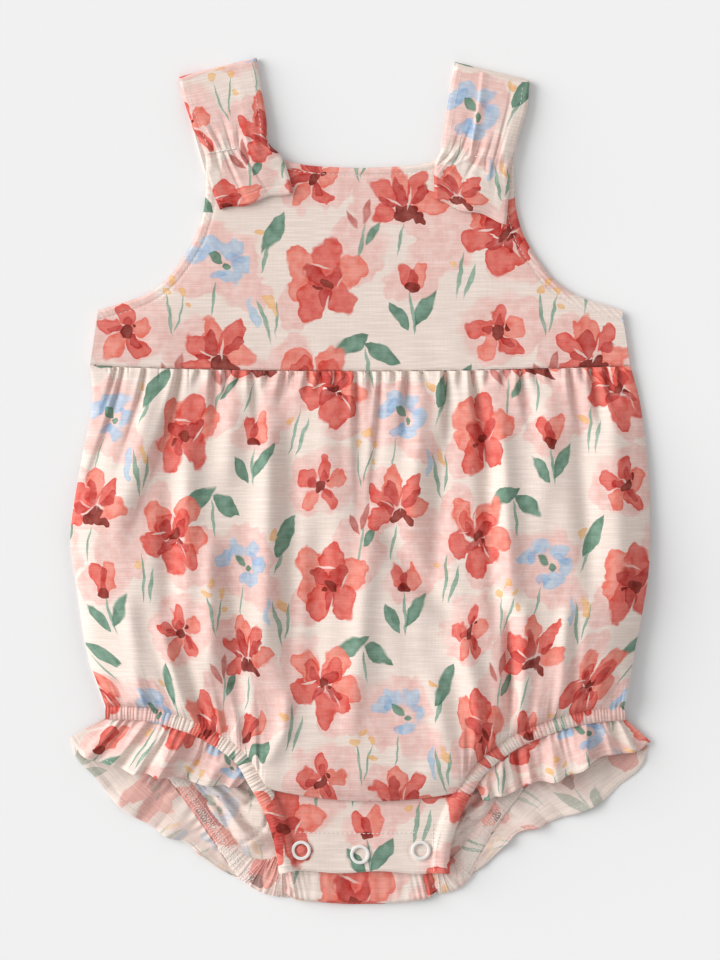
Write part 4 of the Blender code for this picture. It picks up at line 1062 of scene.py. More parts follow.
class SEW_OT_front_body(bpy.types.Operator):
    """Sew the full front: waist creases, soft folds, puckers above the casings"""
    bl_idname = "romper.front_body"
    bl_label = "Front body"

    def execute(self, context):
        cloth = context.scene.romper_cloth
        down = closer_at_ends(FRONT_LENGTH_ROWS) + FRONT_TUCK_ROWS
        panel = sew_panel("cloth_front_body", front_body_point, even(511), down,
                          wall=cloth.wall / MM, finishes=PRINTED, uv=front_body_uv,
                          nodes=["front_body"], floor=0.6)
        return {"FINISHED"}


def back_leg_hem(side, share):
    return BACK_LEG[side].offset(BACK_END * share, BACK_CASING_WIDTH / 2 + SEAM_GAP)


def back_hem(across):
    edge = min(across, 1.0 - across)
    if edge < CROTCH_FROM:
        return back_leg_hem("left" if across < 0.5 else "right", edge / CROTCH_FROM)
    share = (across - CROTCH_FROM) / (1.0 - 2 * CROTCH_FROM)
    return back_leg_hem("left", 1.0).lerp(back_leg_hem("right", 1.0), share)


def back_body_point(across, down):
    waist_side = 2.0 * across - 1.0
    hem = back_hem(across)
    top = waist_y(waist_side * WAIST_HALF) - SEAM_GAP
    y = mix(top, BACK_SIDE_END, min(down / 0.5, 1.0))
    middle, half = body_span(y)
    spot = Vector((middle + waist_side * (half - BACK_YOKE_INSET), y, BACK_TOP))
    lower = max(down - 0.5, 0.0) / 0.5
    if lower:
        spot = spot.lerp(Vector((hem.x, hem.y, BACK_TOP)), lower)
        edge = min(across, 1.0 - across)
        spot.z += (seat_folds(spot.x, spot.y) * ease(lower / 0.3)
                   * ease((CROTCH_FROM + 0.14 - edge) / 0.14) * (1.0 - 0.8 * lower ** 8))
    return spot


SEAT_PITCH = 12.0         # between the broad folds, and between the fine ones
SEAT_FINE_PITCH = 5.3
SEAT_RISE = 5.2
SEAT_PINCH = 1.8
BACK_PRINT = (105.0, 190.0)   # where the back is cut from the printed cloth
BACK_FULLNESS = 1.15


def seat_folds(x, y):
    """Soft folds of the slack seat cloth, seen through the leg openings."""
    across = -0.76 * abs(x) + 0.64 * y + (9.0 if x > 0 else 0.0)
    along = 0.64 * abs(x) + 0.76 * y
    drift = 4.0 * noise.noise(Vector((x * 0.045, y * 0.045, 3.0)))
    broad = abs(math.sin(math.pi * across / SEAT_PITCH + 0.6 * drift))
    size = 0.75 + 0.35 * math.sin(along * 0.13 + drift)
    crossing = noise.noise(Vector((x * 0.13, y * 0.13, 8.0)))
    pinch = abs(math.sin(along * 0.17 + 0.8 * drift))
    fine = abs(math.sin(math.pi * (across + 0.25 * along) / SEAT_FINE_PITCH + drift))
    lift = (SEAT_RISE * size * broad ** 0.8 + SEAT_PINCH * crossing
            - SEAT_PINCH * math.exp(-(pinch / 0.2) ** 2))
    return max(lift - 1.3 * (1.0 - fine) ** 2, 0.0) + 0.2


class SEW_OT_back_body(bpy.types.Operator):
    """Sew the back, which lies on the surface and shows its wrong side in the legs"""
    bl_idname = "romper.back_body"
    bl_label = "Back body"

    def execute(self, context):
        def uv(across, down, point):
            return point[0] * BACK_FULLNESS + BACK_PRINT[0], point[1] + BACK_PRINT[1]

        panel = sew_panel("cloth_back_body", back_body_point, even(241), even(121), wall=1.0,
                          finishes=TURNED, uv=uv, nodes=["back_body"],
                          floor=0.0, flat_under=True)
        return {"FINISHED"}


# ------------------------------------------------------------------ casings, frills

def sew_front_casing(side):
    route = LEG[side]

    def shape(along, across):
        place = route.place_at(along)
        reach = across * (CASING_WIDTH + CASING_OVERLAP)
        spot = route.offset(place, reach)
        share = reach / CASING_WIDTH
        under = max(share - 1.0, 0.0) * CASING_WIDTH / CASING_OVERLAP
        arch = CASING_ARCH * ease(share / 0.5) * (1.0 - 0.6 * ease((share - 0.6) / 0.4))
        rise = mix(RIB_HEIGHT, CROTCH_RIB, ease((place - OVERHANG_AT) / 0.1))
        spot.z = (smooth(LEG_EDGE[side], "top_z", place) + arch
                  - CASING_GROOVE * bell(share, 0.07)
                  + rise * rib_at(side, along)[1] - CASING_DIP * under)
        return spot

    def uv(along, across, point):
        place = route.place_at(along)
        if place > OVERHANG_AT:
            return flap_uv(0.0, 0.0, point)
        edge = OVERHANG_FROM * place / OVERHANG_AT
        body = edge if side == "left" else 1.0 - edge
        spot = front_body_uv(body, 1.0, front_hem(body))
        return spot[0], spot[1] - (1.0 - across) * 7.0

    panel = sew_panel(f"cloth_casing_front_{side}", shape, even(6 * CASING_RIBS + 1), even(14),
                      wall=1.0, finishes=PRINTED, uv=uv, nodes=[f"leg_casing_front_{side}"])


def sew_back_casing(side):
    route = BACK_BAND[side]

    def shape(along, across):
        place = route.place_at(along)
        inner = smooth(BACK_BAND_WIDTH[side], "inner", place)
        outer = smooth(BACK_BAND_WIDTH[side], "outer", place)
        spot = route.offset(place, mix(-outer, inner, across))
        bunch = ease((place - BUNCH_FROM) / (1.0 - BUNCH_FROM))
        rib = (along * BACK_CASING_RIBS + 0.45 * math.sin(along * 39.0)
               + (0.35 + 2.4 * bunch * math.sin(along * 60.0)) * across)
        ridge = abs(math.cos(math.pi * rib)) ** 0.7 * uneven(int(rib + 0.5), 0.3)
        arch = BAND_ARCH * (1.0 - abs(2.0 * across - 1.0) ** 3)
        spot.z = 1.5 + arch * (1.0 + 0.7 * bunch) + (0.4 + 0.4 * bunch) * ridge
        spot.z -= 2.0 * ease((along - 0.95) / 0.05)
        return spot

    def uv(along, across, point):
        if side == "left":
            return along * 120.0 - 78.0, across * 12.0 - 57.0
        return along * 170.0 - 75.0, across * 12.0 - 58.0

    panel = sew_panel(f"cloth_casing_back_{side}", shape, even(5 * BACK_CASING_RIBS + 1),
                      even(13), wall=1.2, finishes=("linen_inside_seam", "printed_linen"), uv=uv,
                      nodes=[f"leg_casing_back_{side}"], floor=0.0,
                      flat_under=True)


class SEW_OT_casings(bpy.types.Operator):
    """Sew the closely ribbed elastic casings round both legs"""
    bl_idname = "romper.casings"
    bl_label = "Leg casings"

    def execute(self, context):
        for side in SIDES:
            sew_front_casing(side)
            sew_back_casing(side)
        return {"FINISHED"}


def frill_phase(waves, along):
    return 2.0 * math.pi * waves * along + 0.8 * math.sin(9.0 * along)


def frill_point(rows, root, waves, along, across):
    hem = Vector([smooth(rows, f"hem_{axis}", along) for axis in "xyz"])
    spot = root.lerp(hem, across)
    wave = 1.0 + math.sin(frill_phase(waves, along))
    spot.z += smooth(rows, "wave", along) * across * wave
    return spot


def frill_folds(side, along, across):
    """Height of the folds and laps that fan out over a front frill."""
    lift = 0.0
    for fold in FRILL_FOLDS[side]:
        away = along - mix(fold.root, fold.hem, across)
        if abs(away) < 4.0 * fold.width:
            shape = bell(away, fold.width)
            if fold.steep:
                shape = ((0.5 - 0.5 * math.tanh(fold.steep * away / FRILL_LAP_STEEP))
                         * bell(min(fold.steep * away, 0.0), 2.2 * fold.width))
            lift += FRILL_FOLD_RISE * fold.height * shape * ease(across * 1.6 + 0.3)
    return lift


def sew_front_frill(side):
    rows = RUFFLE_FRONT[side]

    def shape(along, across):
        place = smooth(rows, "place", along)
        root = LEG[side].offset(place, RUFFLE_TUCK)
        root.z = smooth(LEG_EDGE[side], "top_z", place) - CASING_WALL - RUFFLE_CLEAR
        spot = frill_point(rows, root, FRONT_WAVES, along, across)
        fade = ease(min(along, 1.0 - along) / 0.06)
        spot.z += frill_folds(side, along, across) * fade
        pleat = math.sin(along * 110.0 + 3.0 * math.sin(along * 23.0))
        reach = 0.2 + 0.4 * uneven(along * 19.0, 0.0)
        spot.z += 0.6 * pleat * math.exp(-(across / reach) ** 2) * fade
        spot.z += 1.1 * noise.noise(Vector((along * 16.0, across * 1.7, 5.0))) * fade * across
        outward = (spot - root).normalized() if across > 0.05 else Vector((0.0, -1.0, 0.0))
        wave = math.sin(along * 31.0 + 1.3 * math.sin(along * 12.0))
        spot += Vector((outward.x, outward.y, 0.0)) * wave * 0.8 * across ** 3 * fade
        spot.z -= 0.6 * bell(1.0 - across, 0.03) + 0.25 * bell(across - FRONT_HEM_AT, 0.016)
        return spot

    def uv(along, across, point):
        return HAND[side] * (40.0 + along * 125.0) - 12.0, -36.0 - across * 27.0

    panel = sew_panel(f"cloth_frill_front_{side}", shape, even(241), even(35), wall=0.6,
                      finishes=PRINTED, uv=uv, nodes=[f"ruffle_front_{side}"])


def sew_back_frill(side):
    rows = RUFFLE_BACK[side]

    def shape(along, across):
        place = smooth(rows, "place", along)
        root = BACK_LEG[side].offset(place, -BACK_CASING_WIDTH / 2 - RUFFLE_CLEAR)
        root.z = 1.0
        spot = frill_point(rows, root, BACK_WAVES, along, across)
        spot.z = max(spot.z, 0.9)
        fade = ease(min(along, 1.0 - along) / 0.05)
        pleat = math.sin(along * 120.0 + 3.0 * math.sin(along * 17.0))
        spot.z += (0.5 + 0.5 * pleat) * 0.8 * math.exp(-(across / 0.28) ** 2) * fade
        ripple = math.sin(along * 47.0 + 2.0 * math.sin(along * 13.0 + 1.0))
        spot.z += 0.2 * (1.0 + ripple) * across * fade - 0.5 * bell(1.0 - across, 0.025)
        spot.z += 1.2 * (0.5 + noise.noise(Vector((spot.x, spot.y, 40.0)) * 0.07)) * fade
        spot.z -= 0.3 * bell(across - BACK_HEM_AT, 0.014)
        outward = Vector((spot.x - root.x, spot.y - root.y, 0.0))
        if outward.length > 0.5:
            wave = math.sin(frill_phase(BACK_WAVES, along))
            spot += outward.normalized() * wave * 0.9 * across ** 2 * fade
        return spot

    def uv(along, across, point):
        return HAND[side] * (62.0 + along * 130.0) + 9.0, 28.0 - across * 24.0

    panel = sew_panel(f"cloth_frill_back_{side}", shape, even(241), even(31), wall=0.7,
                      finishes=TURNED, uv=uv, nodes=[f"ruffle_back_{side}"],
                      floor=0.0)


class SEW_OT_frills(bpy.types.Operator):
    """Sew the gathered frills that hang from both leg casings"""
    bl_idname = "romper.frills"
    bl_label = "Leg frills"

    def execute(self, context):
        for side in SIDES:
            sew_front_frill(side)
            sew_back_frill(side)
        return {"FINISHED"}


# ------------------------------------------------------------------ yokes and straps

def yoke_point(across, down, inset, top_z, puff, shoulder_limit):
    up = 1.0 - down
    hand = -1.0 if across < 0.5 else 1.0
    place = 1.0 - abs(2.0 * across - 1.0)
    waist_x = smooth(YOKE, "waist_x", place)
    edge_x = max(smooth(YOKE, "edge_x", place) - inset, 0.0) if place < 1.0 else 0.0
    edge_y = min(smooth(YOKE, "edge_y", place) - inset, shoulder_limit)
    waist_x = max(waist_x - inset, 0.0)
    x = mix(waist_x, edge_x, up)
    y = mix(waist_y(waist_x) + SEAM_GAP, edge_y, up)
    round_off = math.sin(math.pi * up) * ease(place * 3.0)
    return Vector((hand * x, y, top_z + puff * round_off))


def yoke_edges():
    """Plan lines of the armholes and of the neckline, from the yoke's own edge."""
    armholes, neck = [], []
    for hand in (-1.0, 1.0):
        armholes.append([(hand * smooth(YOKE, "edge_x", place), smooth(YOKE, "edge_y", place))
                         for place in np.linspace(0.0, 0.65, 90)])
    for across in np.linspace(-1.0, 1.0, 121):
        place = 1.0 - 0.2 * abs(across)
        hand = -1.0 if across < 0 else 1.0
        neck.append((hand * smooth(YOKE, "edge_x", place), smooth(YOKE, "edge_y", place)))
    return armholes, neck


def distances(points, line):
    """Plan distance of each point from the nearest sample of a line."""
    spots = np.array([(point[0], point[1]) for point in points])
    samples = np.array(line)
    dense = np.concatenate([np.linspace(a, b, 6)[:-1] for a, b in zip(samples, samples[1:])]
                           + [samples[-1:]])
    return np.sqrt(((spots[:, None, :] - dense[None, :, :]) ** 2).sum(axis=2)).min(axis=1)


ARMHOLE_STITCH = 4.6      # distance of each stitch line from the edge
NECK_STITCH = 3.6
EDGE_REACH = 12.0
EDGE_DROP, STITCH_GROOVE, EDGE_PUCKER = 0.9, 0.32, 0.12


def press_yoke(points):
    """Rounds the yoke's free edges and presses a groove under each stitch line."""
    armholes, neck = yoke_edges()
    for line, inset in ((armholes[0], ARMHOLE_STITCH), (armholes[1], ARMHOLE_STITCH),
                        (neck, NECK_STITCH)):
        for point, away in zip(points, distances(points, line)):
            if away < EDGE_REACH:
                pucker = EDGE_PUCKER * math.sin((point[0] + point[1]) * 1.9)
                point.z -= EDGE_DROP * bell(away, 0.8) + STITCH_GROOVE * bell(away - inset, 0.55)
                point.z += pucker * bell(away - inset * 0.5, inset * 0.6)
    for point in points:
        above_seam = point.y - waist_y(point.x)
        point.z += (0.16 * math.sin(point.x * 0.31 + 1.2 * math.sin(point.y * 0.1))
                    * bell(above_seam - 8.0, 10.0))
        point.z -= 0.7 * bell(above_seam, 0.9)
    return points


class SEW_OT_yokes(bpy.types.Operator):
    """Sew the smooth front and back yokes with their faced edges"""
    bl_idname = "romper.yokes"
    bl_label = "Yokes"

    def execute(self, context):
        def front(across, down):
            return yoke_point(across, down, 0.0, FRONT_YOKE_TOP, YOKE_PUFF, FRONT_SHOULDER_Y)

        def back(across, down):
            return yoke_point(across, down, BACK_YOKE_INSET, YOKE_WALL, 0.0, BACK_SHOULDER_Y)

        panel = sew_panel("cloth_front_yoke", front, even(271), closer_at_ends(91), wall=1.3,
                          finishes=DOUBLE, uv=lambda across, down, point: (point[0], point[1]),
                          nodes=["front_yoke"], floor=1.62,
                          soften=press_yoke)
        panel = sew_panel("cloth_back_yoke", back, even(161), closer_at_ends(41), wall=1.4,
                          finishes=TURNED,
                          uv=lambda across, down, point: (point[0] + 40.0, point[1] + 12.0),
                          nodes=["back_yoke"], floor=0.0, flat_under=True)
        return {"FINISHED"}


def strap_section(side, place):
    """Both plan edges and the height: place under 0 is the fold and the back layer."""
    def edges(at):
        rows = STRAP_FRONT[side]
        return (Vector((smooth(rows, "left_x", at), smooth(rows, "left_y", at), 0.0)),
                Vector((smooth(rows, "right_x", at), smooth(rows, "right_y", at), 0.0)))

    if place >= 0.0:
        return (*edges(place), smooth(STRAP_FRONT[side], "z", place))
    top = edges(0.0)
    if place > -1.0:
        turn = math.pi * (1.0 + place)
        rise = Vector((0.0, STRAP_FOLD_RADIUS * math.sin(turn), 0.0))
        return top[0] + rise, top[1] + rise, STRAP_FOLD_RADIUS * (1.0 - math.cos(turn))
    left, right = [high.lerp(Vector((low.x, BACK_SHOULDER_Y + SEAM_GAP, 0.0)), -1.0 - place)
                   for high, low in zip(top, edges(0.5))]
    return left, right, 0.0


def pleat_lift(side, across, place):
    lift = 0.0
    away = place - STRAP_PINCH
    for pleat in STRAP_PLEATS[side]:
        reach, lean = ((pleat.above, pleat.lean_up) if away < 0
                       else (pleat.below, pleat.lean_down))
        run = abs(away) / reach
        fade = math.exp(-run ** 2) * (0.5 + 0.5 * ease(abs(away) / 0.04))
        width = pleat.width * (1.0 + 0.9 * run)
        offset = across - pleat.across - lean * run
        lift += pleat.height * fade * bell(offset, width * (0.6 if offset < 0 else 1.4))
    return lift


def sew_strap(side):
    def shape(across, place):
        left, right, z = strap_section(side, place)
        spot = left.lerp(right, across)
        lift = pleat_lift(side, across, place)
        edge = min(across, 1.0 - across) * (right - left).length
        spot.z = z + lift - STRAP_EDGE_DROP * bell(edge, 0.8)
        spot.z += 0.9 * math.sin(math.pi * across) * ease(place * 5.0) * (1.0 - ease(place - 0.2))
        spot.z += 0.35 * math.sin(across * 8.0 + 4.0 * place) * ease(place * 4.0)
        crumple = noise.noise(Vector((across * 9.0, place * 13.0, CRUMPLE_SEED[side])))
        spot.z += 0.9 * crumple * bell(place - STRAP_PINCH, 0.16)
        spot.z -= 0.8 * bell(1.0 - place, 0.012)
        spot.z -= 0.35 * bell(place - TAB_HEM_AT, 0.008)
        hem = ease((place - TAB_FROM) / 0.4)
        spot.y += 0.8 * math.sin(across * 11.0 + 0.6) * hem
        spot.z += 0.5 * (1.0 + math.sin(across * 13.0 + 1.2)) * hem * 0.6
        return spot

    def uv(across, down, point):
        left, right, _ = strap_section(side, down)
        width = (right - left).length
        shift = STRAP_PRINT_SHIFT[side]
        return (across - 0.5) * max(width, 37.0) * 1.12 + shift, 20.0 - down * 74.0 + shift

    panel = sew_panel(f"cloth_strap_{side}", shape, even(131), even(111), wall=1.2,
                      finishes=DOUBLE, uv=uv, nodes=[f"strap_{side}"])


def sew_strap_back(side):
    """The strap's fold at the shoulder and its back layer on the surface."""
    def shape(across, down):
        place = mix(-2.0, 0.0, down)
        left, right, z = strap_section(side, place)
        spot = left.lerp(right, across)
        spot.z = z
        edge = min(across, 1.0 - across) * (right - left).length
        if place > -1.0:
            spot.z -= 0.7 * bell(edge, 0.7) * (1.0 + place)
        return spot

    def uv(across, down, point):
        shift = STRAP_PRINT_SHIFT[side]
        return (across - 0.5) * 42.0 + shift, 20.0 + shift + (1.0 - down) * 52.0

    def facing(face):
        return -face.normal.z if face.center.z < 0.5 * MM else 0.0

    rows = [0.25 * share for share in even(20)] + [0.25 + 0.25 * share for share in even(12)[1:]]
    rows += [0.5 + 0.5 * share for share in even(33)[1:]]
    back = sew_panel(f"cloth_strap_back_{side}", shape, even(41), rows, wall=1.1,
                     finishes=DOUBLE, uv=uv, nodes=[f"strap_{side}"],
                     floor=0.0, facing=facing)


class SEW_OT_straps(bpy.types.Operator):
    """Sew each strap: back layer, rounded shoulder fold, caught pleats and open tab"""
    bl_idname = "romper.straps"
    bl_label = "Straps"

    def execute(self, context):
        for side in SIDES:
            sew_strap(side)
            sew_strap_back(side)
        return {"FINISHED"}


# ------------------------------------------------------------------ crotch band

def flap_uv(across, down, point):
    return point[0] + FLAP_PRINT[0], point[1] + FLAP_PRINT[1]


def front_flap_point(across, down):
    place = mix(FLAP_HIDDEN_AT, 1.0, down)
    left, right = [LEG[side].offset(place, CASING_WIDTH - FLAP_UNDER) for side in SIDES]
    spot = left.lerp(right, across)
    side = "left" if across < 0.5 else "right"
    away = min(across, 1.0 - across) * (right - left).length - FLAP_UNDER
    _, rib = rib_at(side, LEG[side].run_at(place) / LEG[side].length)
    rise = smooth(LEG_EDGE[side], "top_z", place) + 0.2 + 0.5 * rib - FLAP_TOP_Z
    spot.z = FLAP_TOP_Z + rise * math.exp(-(max(away, 0.0) / 1.5) ** 2)
    spot.z -= FLAP_SINK * ease(-away / FLAP_UNDER)
    spot.z += 0.4 * (rib - 0.4) * math.exp(-(away / 5.0) ** 2) * ease(away / 1.5)
    for snap in SNAPS:
        gap = math.hypot(spot.x - snap.x, spot.y - snap.y)
        spot.z += 0.25 * bell(gap, 2.3) - 0.25 * bell(gap - SNAP_DIMPLE, 1.0)
        spot.z += 0.7 * snap.filled * (1.0 - ease((gap - SNAP_POST) / 0.45))
    spot.z += 0.25 * math.sin(spot.x * 0.22 + 0.8 * math.sin(spot.y * 0.4)) * ease(down * 2.0)
    spot.z -= 0.7 * bell(1.0 - down, 0.02)
    spot.y += 0.6 * math.sin(spot.x * 0.17) * down
    return spot


class SEW_OT_crotch(bpy.types.Operator):
    """Sew the front snap band and the back extension that folds up under it"""
    bl_idname = "romper.crotch"
    bl_label = "Crotch bands"

    def execute(self, context):
        panel = sew_panel("cloth_front_flap", front_flap_point, even(151), even(91), wall=1.0,
                          finishes=PRINTED, uv=flap_uv, nodes=["front_crotch_flap"])
        self.sew_back_flap()
        return {"FINISHED"}

    def sew_back_flap(self):
        radius = FOLD_HEIGHT / 2
        gap = Vector((0.0, -0.02, 0.0))
        seam = back_leg_hem("left", 1.0) + gap, back_leg_hem("right", 1.0) + gap
        fold_y = FOLD_LOWEST_Y + radius
        fold = Vector((-EXTENSION_HALF, fold_y, 0.0)), Vector((EXTENSION_HALF, fold_y, 0.0))
        top_half = EXTENSION_HALF - EXTENSION_TAPER
        top = Vector((-top_half, EXTENSION_TOP_Y, 0.0)), Vector((top_half, EXTENSION_TOP_Y, 0.0))

        def shape(across, stage):
            """Runs from the seam to the fold at stage 1, round it by 2 and up to 3."""
            turn = min(max(stage - 1.0, 0.0), 1.0) * math.pi
            upper = ease(stage - 1.0)
            if stage < 1.0:
                left, right = seam[0].lerp(fold[0], stage), seam[1].lerp(fold[1], stage)
            elif stage > 2.0:
                left, right = fold[0].lerp(top[0], stage - 2.0), fold[1].lerp(top[1], stage - 2.0)
            else:
                left, right = fold
            spot = left.lerp(right, across)
            aside = abs(spot.x)
            bow = 3.2 * ((spot.x - 1.0) / 38.0) ** 2 + 2.4 * ease((aside - 29.0) / 9.0) ** 2
            curl = bow * min(stage, 1.0, 3.0 - stage)
            soft = 0.4 * math.sin(spot.x * 0.31 + math.sin(spot.x * 0.8)) * upper
            crease = 0.5 * math.sin(spot.y * 0.8 + 0.08 * aside) * ease(aside / 34.0)
            crease += 0.5 * math.sin(spot.x * 2.3 + 0.5 * spot.y) * ease((aside - 22.0) / 12.0)
            crease -= 1.5 * ease((aside - 33.5) / 3.0)
            return Vector((spot.x, spot.y - radius * math.sin(turn) + soft * 0.3 + curl,
                           radius * (1.0 - math.cos(turn)) + (soft * 0.5 + crease) * upper))

        def uv(across, stage, point):
            return (across - 0.5) * 76.0 - 14.0, stage * 26.0 + 44.0

        def facing(face):
            return face.normal.z if face.center.z > (FOLD_HEIGHT - 0.6) * MM else 0.0

        stages = ([0.1 * step for step in range(10)] + [1.0 + 0.05 * step for step in range(21)]
                  + [2.0 + 0.05 * step for step in range(1, 21)])
        panel = sew_panel("cloth_back_flap", shape, even(121), stages, wall=1.0,
                          finishes=PRINTED, uv=uv, nodes=["back_crotch_flap"],
                          floor=0.0, facing=facing)


# ------------------------------------------------------------------ snaps

class SEW_OT_snaps(bpy.types.Operator):
    """Press on the ring caps and finish the studs between the bands"""
    bl_idname = "romper.snaps"
    bl_label = "Snaps"

    def execute(self, context):
        plastic = finishes_of("snap_resin")[0]
        for snap in SNAPS:
            bare_scene()
            middle = (RING_OUTER + RING_INNER) / 2
            tube = (RING_OUTER - RING_INNER) / 2
            height = FLAP_TOP_Z + SEAM_GAP + RING_RISE / 2
            bpy.ops.mesh.primitive_torus_add(location=(snap.x * MM, snap.y * MM, height * MM),
                                             major_radius=middle * MM, minor_radius=tube * MM,
                                             major_segments=56, minor_segments=16)
            ring = bpy.context.object
            ring.name = ring.data.name = f"snap_cap_{snap.name}"
            bpy.ops.object.transform_apply(location=True, rotation=True, scale=True)
            for vertex in ring.data.vertices:
                rise = (vertex.co.z / MM - height) / tube
                flat = math.copysign(min(abs(rise), 1.0) ** RING_FLATNESS, rise)
                vertex.co.z = (height + flat * RING_RISE / 2) * MM
            bpy.ops.object.shade_smooth()
            ring.data.materials.append(plastic)
            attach(ring, "root")
            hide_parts(f"snap_ring_{snap.name}")
            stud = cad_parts[f"snap_stud_{snap.name}"]
            for slot in stud.material_slots:
                slot.material = plastic
        return {"FINISHED"}


# ------------------------------------------------------------------ stitching

Stitch = namedtuple("Stitch", "pitch length radius")
YOKE_STITCH = Stitch(2.3, 1.7, 0.14)
STRAP_STITCH = Stitch(2.6, 2.7, 0.3)
STRAP_EDGE_STITCH = Stitch(2.3, 1.6, 0.13)
FRILL_STITCH = Stitch(2.2, 1.3, 0.14)
CASING_STITCH = Stitch(1.7, 1.7, 0.16)
BAND_STITCH = Stitch(2.2, 1.7, 0.18)
ZIGZAG_POINTS = 150
FRILL_HEM = 2.4


def resample(points, pitch):
    """Spots and headings every pitch along a line of points, in mm."""
    spots = np.array([tuple(point) for point in points])
    steps = np.sqrt(((spots[1:] - spots[:-1]) ** 2).sum(axis=1))
    run = np.concatenate([[0.0], np.cumsum(steps)])
    count = max(int(run[-1] / pitch), 1)
    marks = (np.arange(count) + 0.5) * run[-1] / count
    places = np.stack([np.interp(marks, run, spots[:, axis]) for axis in range(3)], axis=1)
    ahead = np.stack([np.interp(marks + 0.3, run, spots[:, axis]) for axis in range(3)], axis=1)
    return places, ahead - places


def on_cloth(panel, lines, lift):
    """Drops each plan line of points onto the named panel, raised by lift."""
    cloth = bpy.data.objects[panel]
    landed = []
    for line in lines:
        spots = []
        for point in line:
            start = Vector((point[0], point[1], 60.0)) * MM
            hit, place, _, _ = cloth.ray_cast(start, Vector((0.0, 0.0, -1.0)))
            if hit:
                spots.append(place / MM + Vector((0.0, 0.0, lift)))
        if len(spots) > 1:
            landed.append(spots)
    return landed


def sew_stitches(name, lines, stitch):
    """One thread stitch is modelled and copied along the lines, then joined."""
    bare_scene()
    bpy.ops.mesh.primitive_uv_sphere_add(segments=6, ring_count=4, radius=1.0)
    first = bpy.context.object
    first.name = first.data.name = name
    first.data.materials.append(finishes_of("white_thread")[0])
    for vertex in first.data.vertices:
        x, y, z = vertex.co
        vertex.co = Vector((z * stitch.length / 2, x * stitch.radius, y * stitch.radius)) * MM
    shape = [vertex.co.copy() for vertex in first.data.vertices]
    copies = []
    for line in lines:
        places, headings = resample(line, stitch.pitch)
        for place, heading in zip(places, headings):
            turn = Vector(heading).to_track_quat("X", "Z")
            copy = first.copy()
            copy.data = first.data.copy()
            bpy.context.scene.collection.objects.link(copy)
            for vertex, spot in zip(copy.data.vertices, shape):
                vertex.co = turn @ spot + Vector(place) * MM
            copies.append(copy)
    bpy.data.objects.remove(first)
    for copy in copies:
        copy.select_set(True)
    bpy.context.view_layer.objects.active = copies[0]
    bpy.ops.object.join()
    row = bpy.context.object
    row.name = row.data.name = name
    bpy.ops.object.shade_smooth()
    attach(row, "root")


def inset_line(line, inset, towards):
    """A plan line moved sideways by inset, to the side of a point."""
    moved = []
    for index, (x, y) in enumerate(line):
        before, after = line[max(index - 1, 0)], line[min(index + 1, len(line) - 1)]
        tangent = Vector((after[0] - before[0], after[1] - before[1]))
        normal = Vector((-tangent.y, tangent.x)).normalized()
        if normal.dot(Vector(towards) - Vector((x, y))) < 0:
            normal = -normal
        moved.append((x + normal.x * inset, y + normal.y * inset))
    return moved


class SEW_OT_stitching(bpy.types.Operator):
    """Stitch the yoke edges, straps, crotch band, frill hems and inside seams"""
    bl_idname = "romper.stitching"
    bl_label = "Stitching"

    def execute(self, context):
        armholes, neck = yoke_edges()
        lines = [inset_line(line, ARMHOLE_STITCH, (0.0, 90.0)) for line in armholes]
        lines.append(inset_line(neck[14:-14], NECK_STITCH, (0.0, 60.0)))
        sew_stitches("thread_yoke", on_cloth("cloth_front_yoke", lines, 0.05), YOKE_STITCH)
        for side in SIDES:
            self.stitch_strap(side)
            self.stitch_frills(side)
            self.stitch_back_casing(side)
        self.stitch_band()
        return {"FINISHED"}

    def stitch_strap(self, side):
        def plan(across, place):
            left, right, _ = strap_section(side, place)
            spot = left.lerp(right, across)
            return spot.x, spot.y

        reach = (0.03, 0.5) if side == "left" else (0.3, 0.62)
        pinch = [plan(across, STRAP_PINCH) for across in np.linspace(*reach, 60)]
        edges = [[plan(across, place) for place in np.linspace(0.03, 0.44, 30)]
                 for across in (0.09, 0.91)]
        strap = f"cloth_strap_{side}"
        sew_stitches(f"thread_strap_{side}", on_cloth(strap, [pinch], 0.4), STRAP_STITCH)
        sew_stitches(f"thread_strap_edge_{side}", on_cloth(strap, edges, 0.05),
                     STRAP_EDGE_STITCH)

    def stitch_frills(self, side):
        lines = []
        for rows, name, route, tuck in (
                (RUFFLE_FRONT[side], "front", LEG[side], RUFFLE_TUCK),
                (RUFFLE_BACK[side], "back", BACK_LEG[side],
                 -BACK_CASING_WIDTH / 2 - RUFFLE_CLEAR)):
            line = []
            for along in np.linspace(0.03, 0.95, 120):
                root = route.offset(smooth(rows, "place", along), tuck)
                hem = Vector((smooth(rows, "hem_x", along), smooth(rows, "hem_y", along), 0.0))
                spot = root.lerp(hem, 1.0 - FRILL_HEM / max((hem - root).length, 5.0))
                line.append((spot.x, spot.y))
            lines += on_cloth(f"cloth_frill_{name}_{side}", [line], 0.05)
        sew_stitches(f"thread_frill_{side}", lines, FRILL_STITCH)

    def stitch_back_casing(self, side):
        route = BACK_LEG[side]
        zigzag = []
        for step in range(ZIGZAG_POINTS):
            place = mix(0.06, 0.97, step / (ZIGZAG_POINTS - 1))
            spot = route.offset(place, 2.6 * (0.5 if step % 2 else -0.55))
            zigzag.append((spot.x, spot.y))
        rows = [zigzag]
        for offset in (-2.4, 2.3):
            spots = [route.offset(place, offset) for place in np.linspace(0.05, 0.97, 90)]
            rows.append([(spot.x, spot.y) for spot in spots])
        sew_stitches(f"thread_casing_{side}", on_cloth(f"cloth_casing_back_{side}", rows, 0.1),
                     CASING_STITCH)

    def stitch_band(self):
        level = [(x, -171.6 + 0.0008 * x * x) for x in np.linspace(-30.0, 34.0, 60)]
        upright = [(35.8 - 0.02 * (y + 190.0), y) for y in np.linspace(-190.0, -166.0, 30)]
        sew_stitches("thread_band", on_cloth("cloth_front_flap", [level, upright], 0.1),
                     BAND_STITCH)


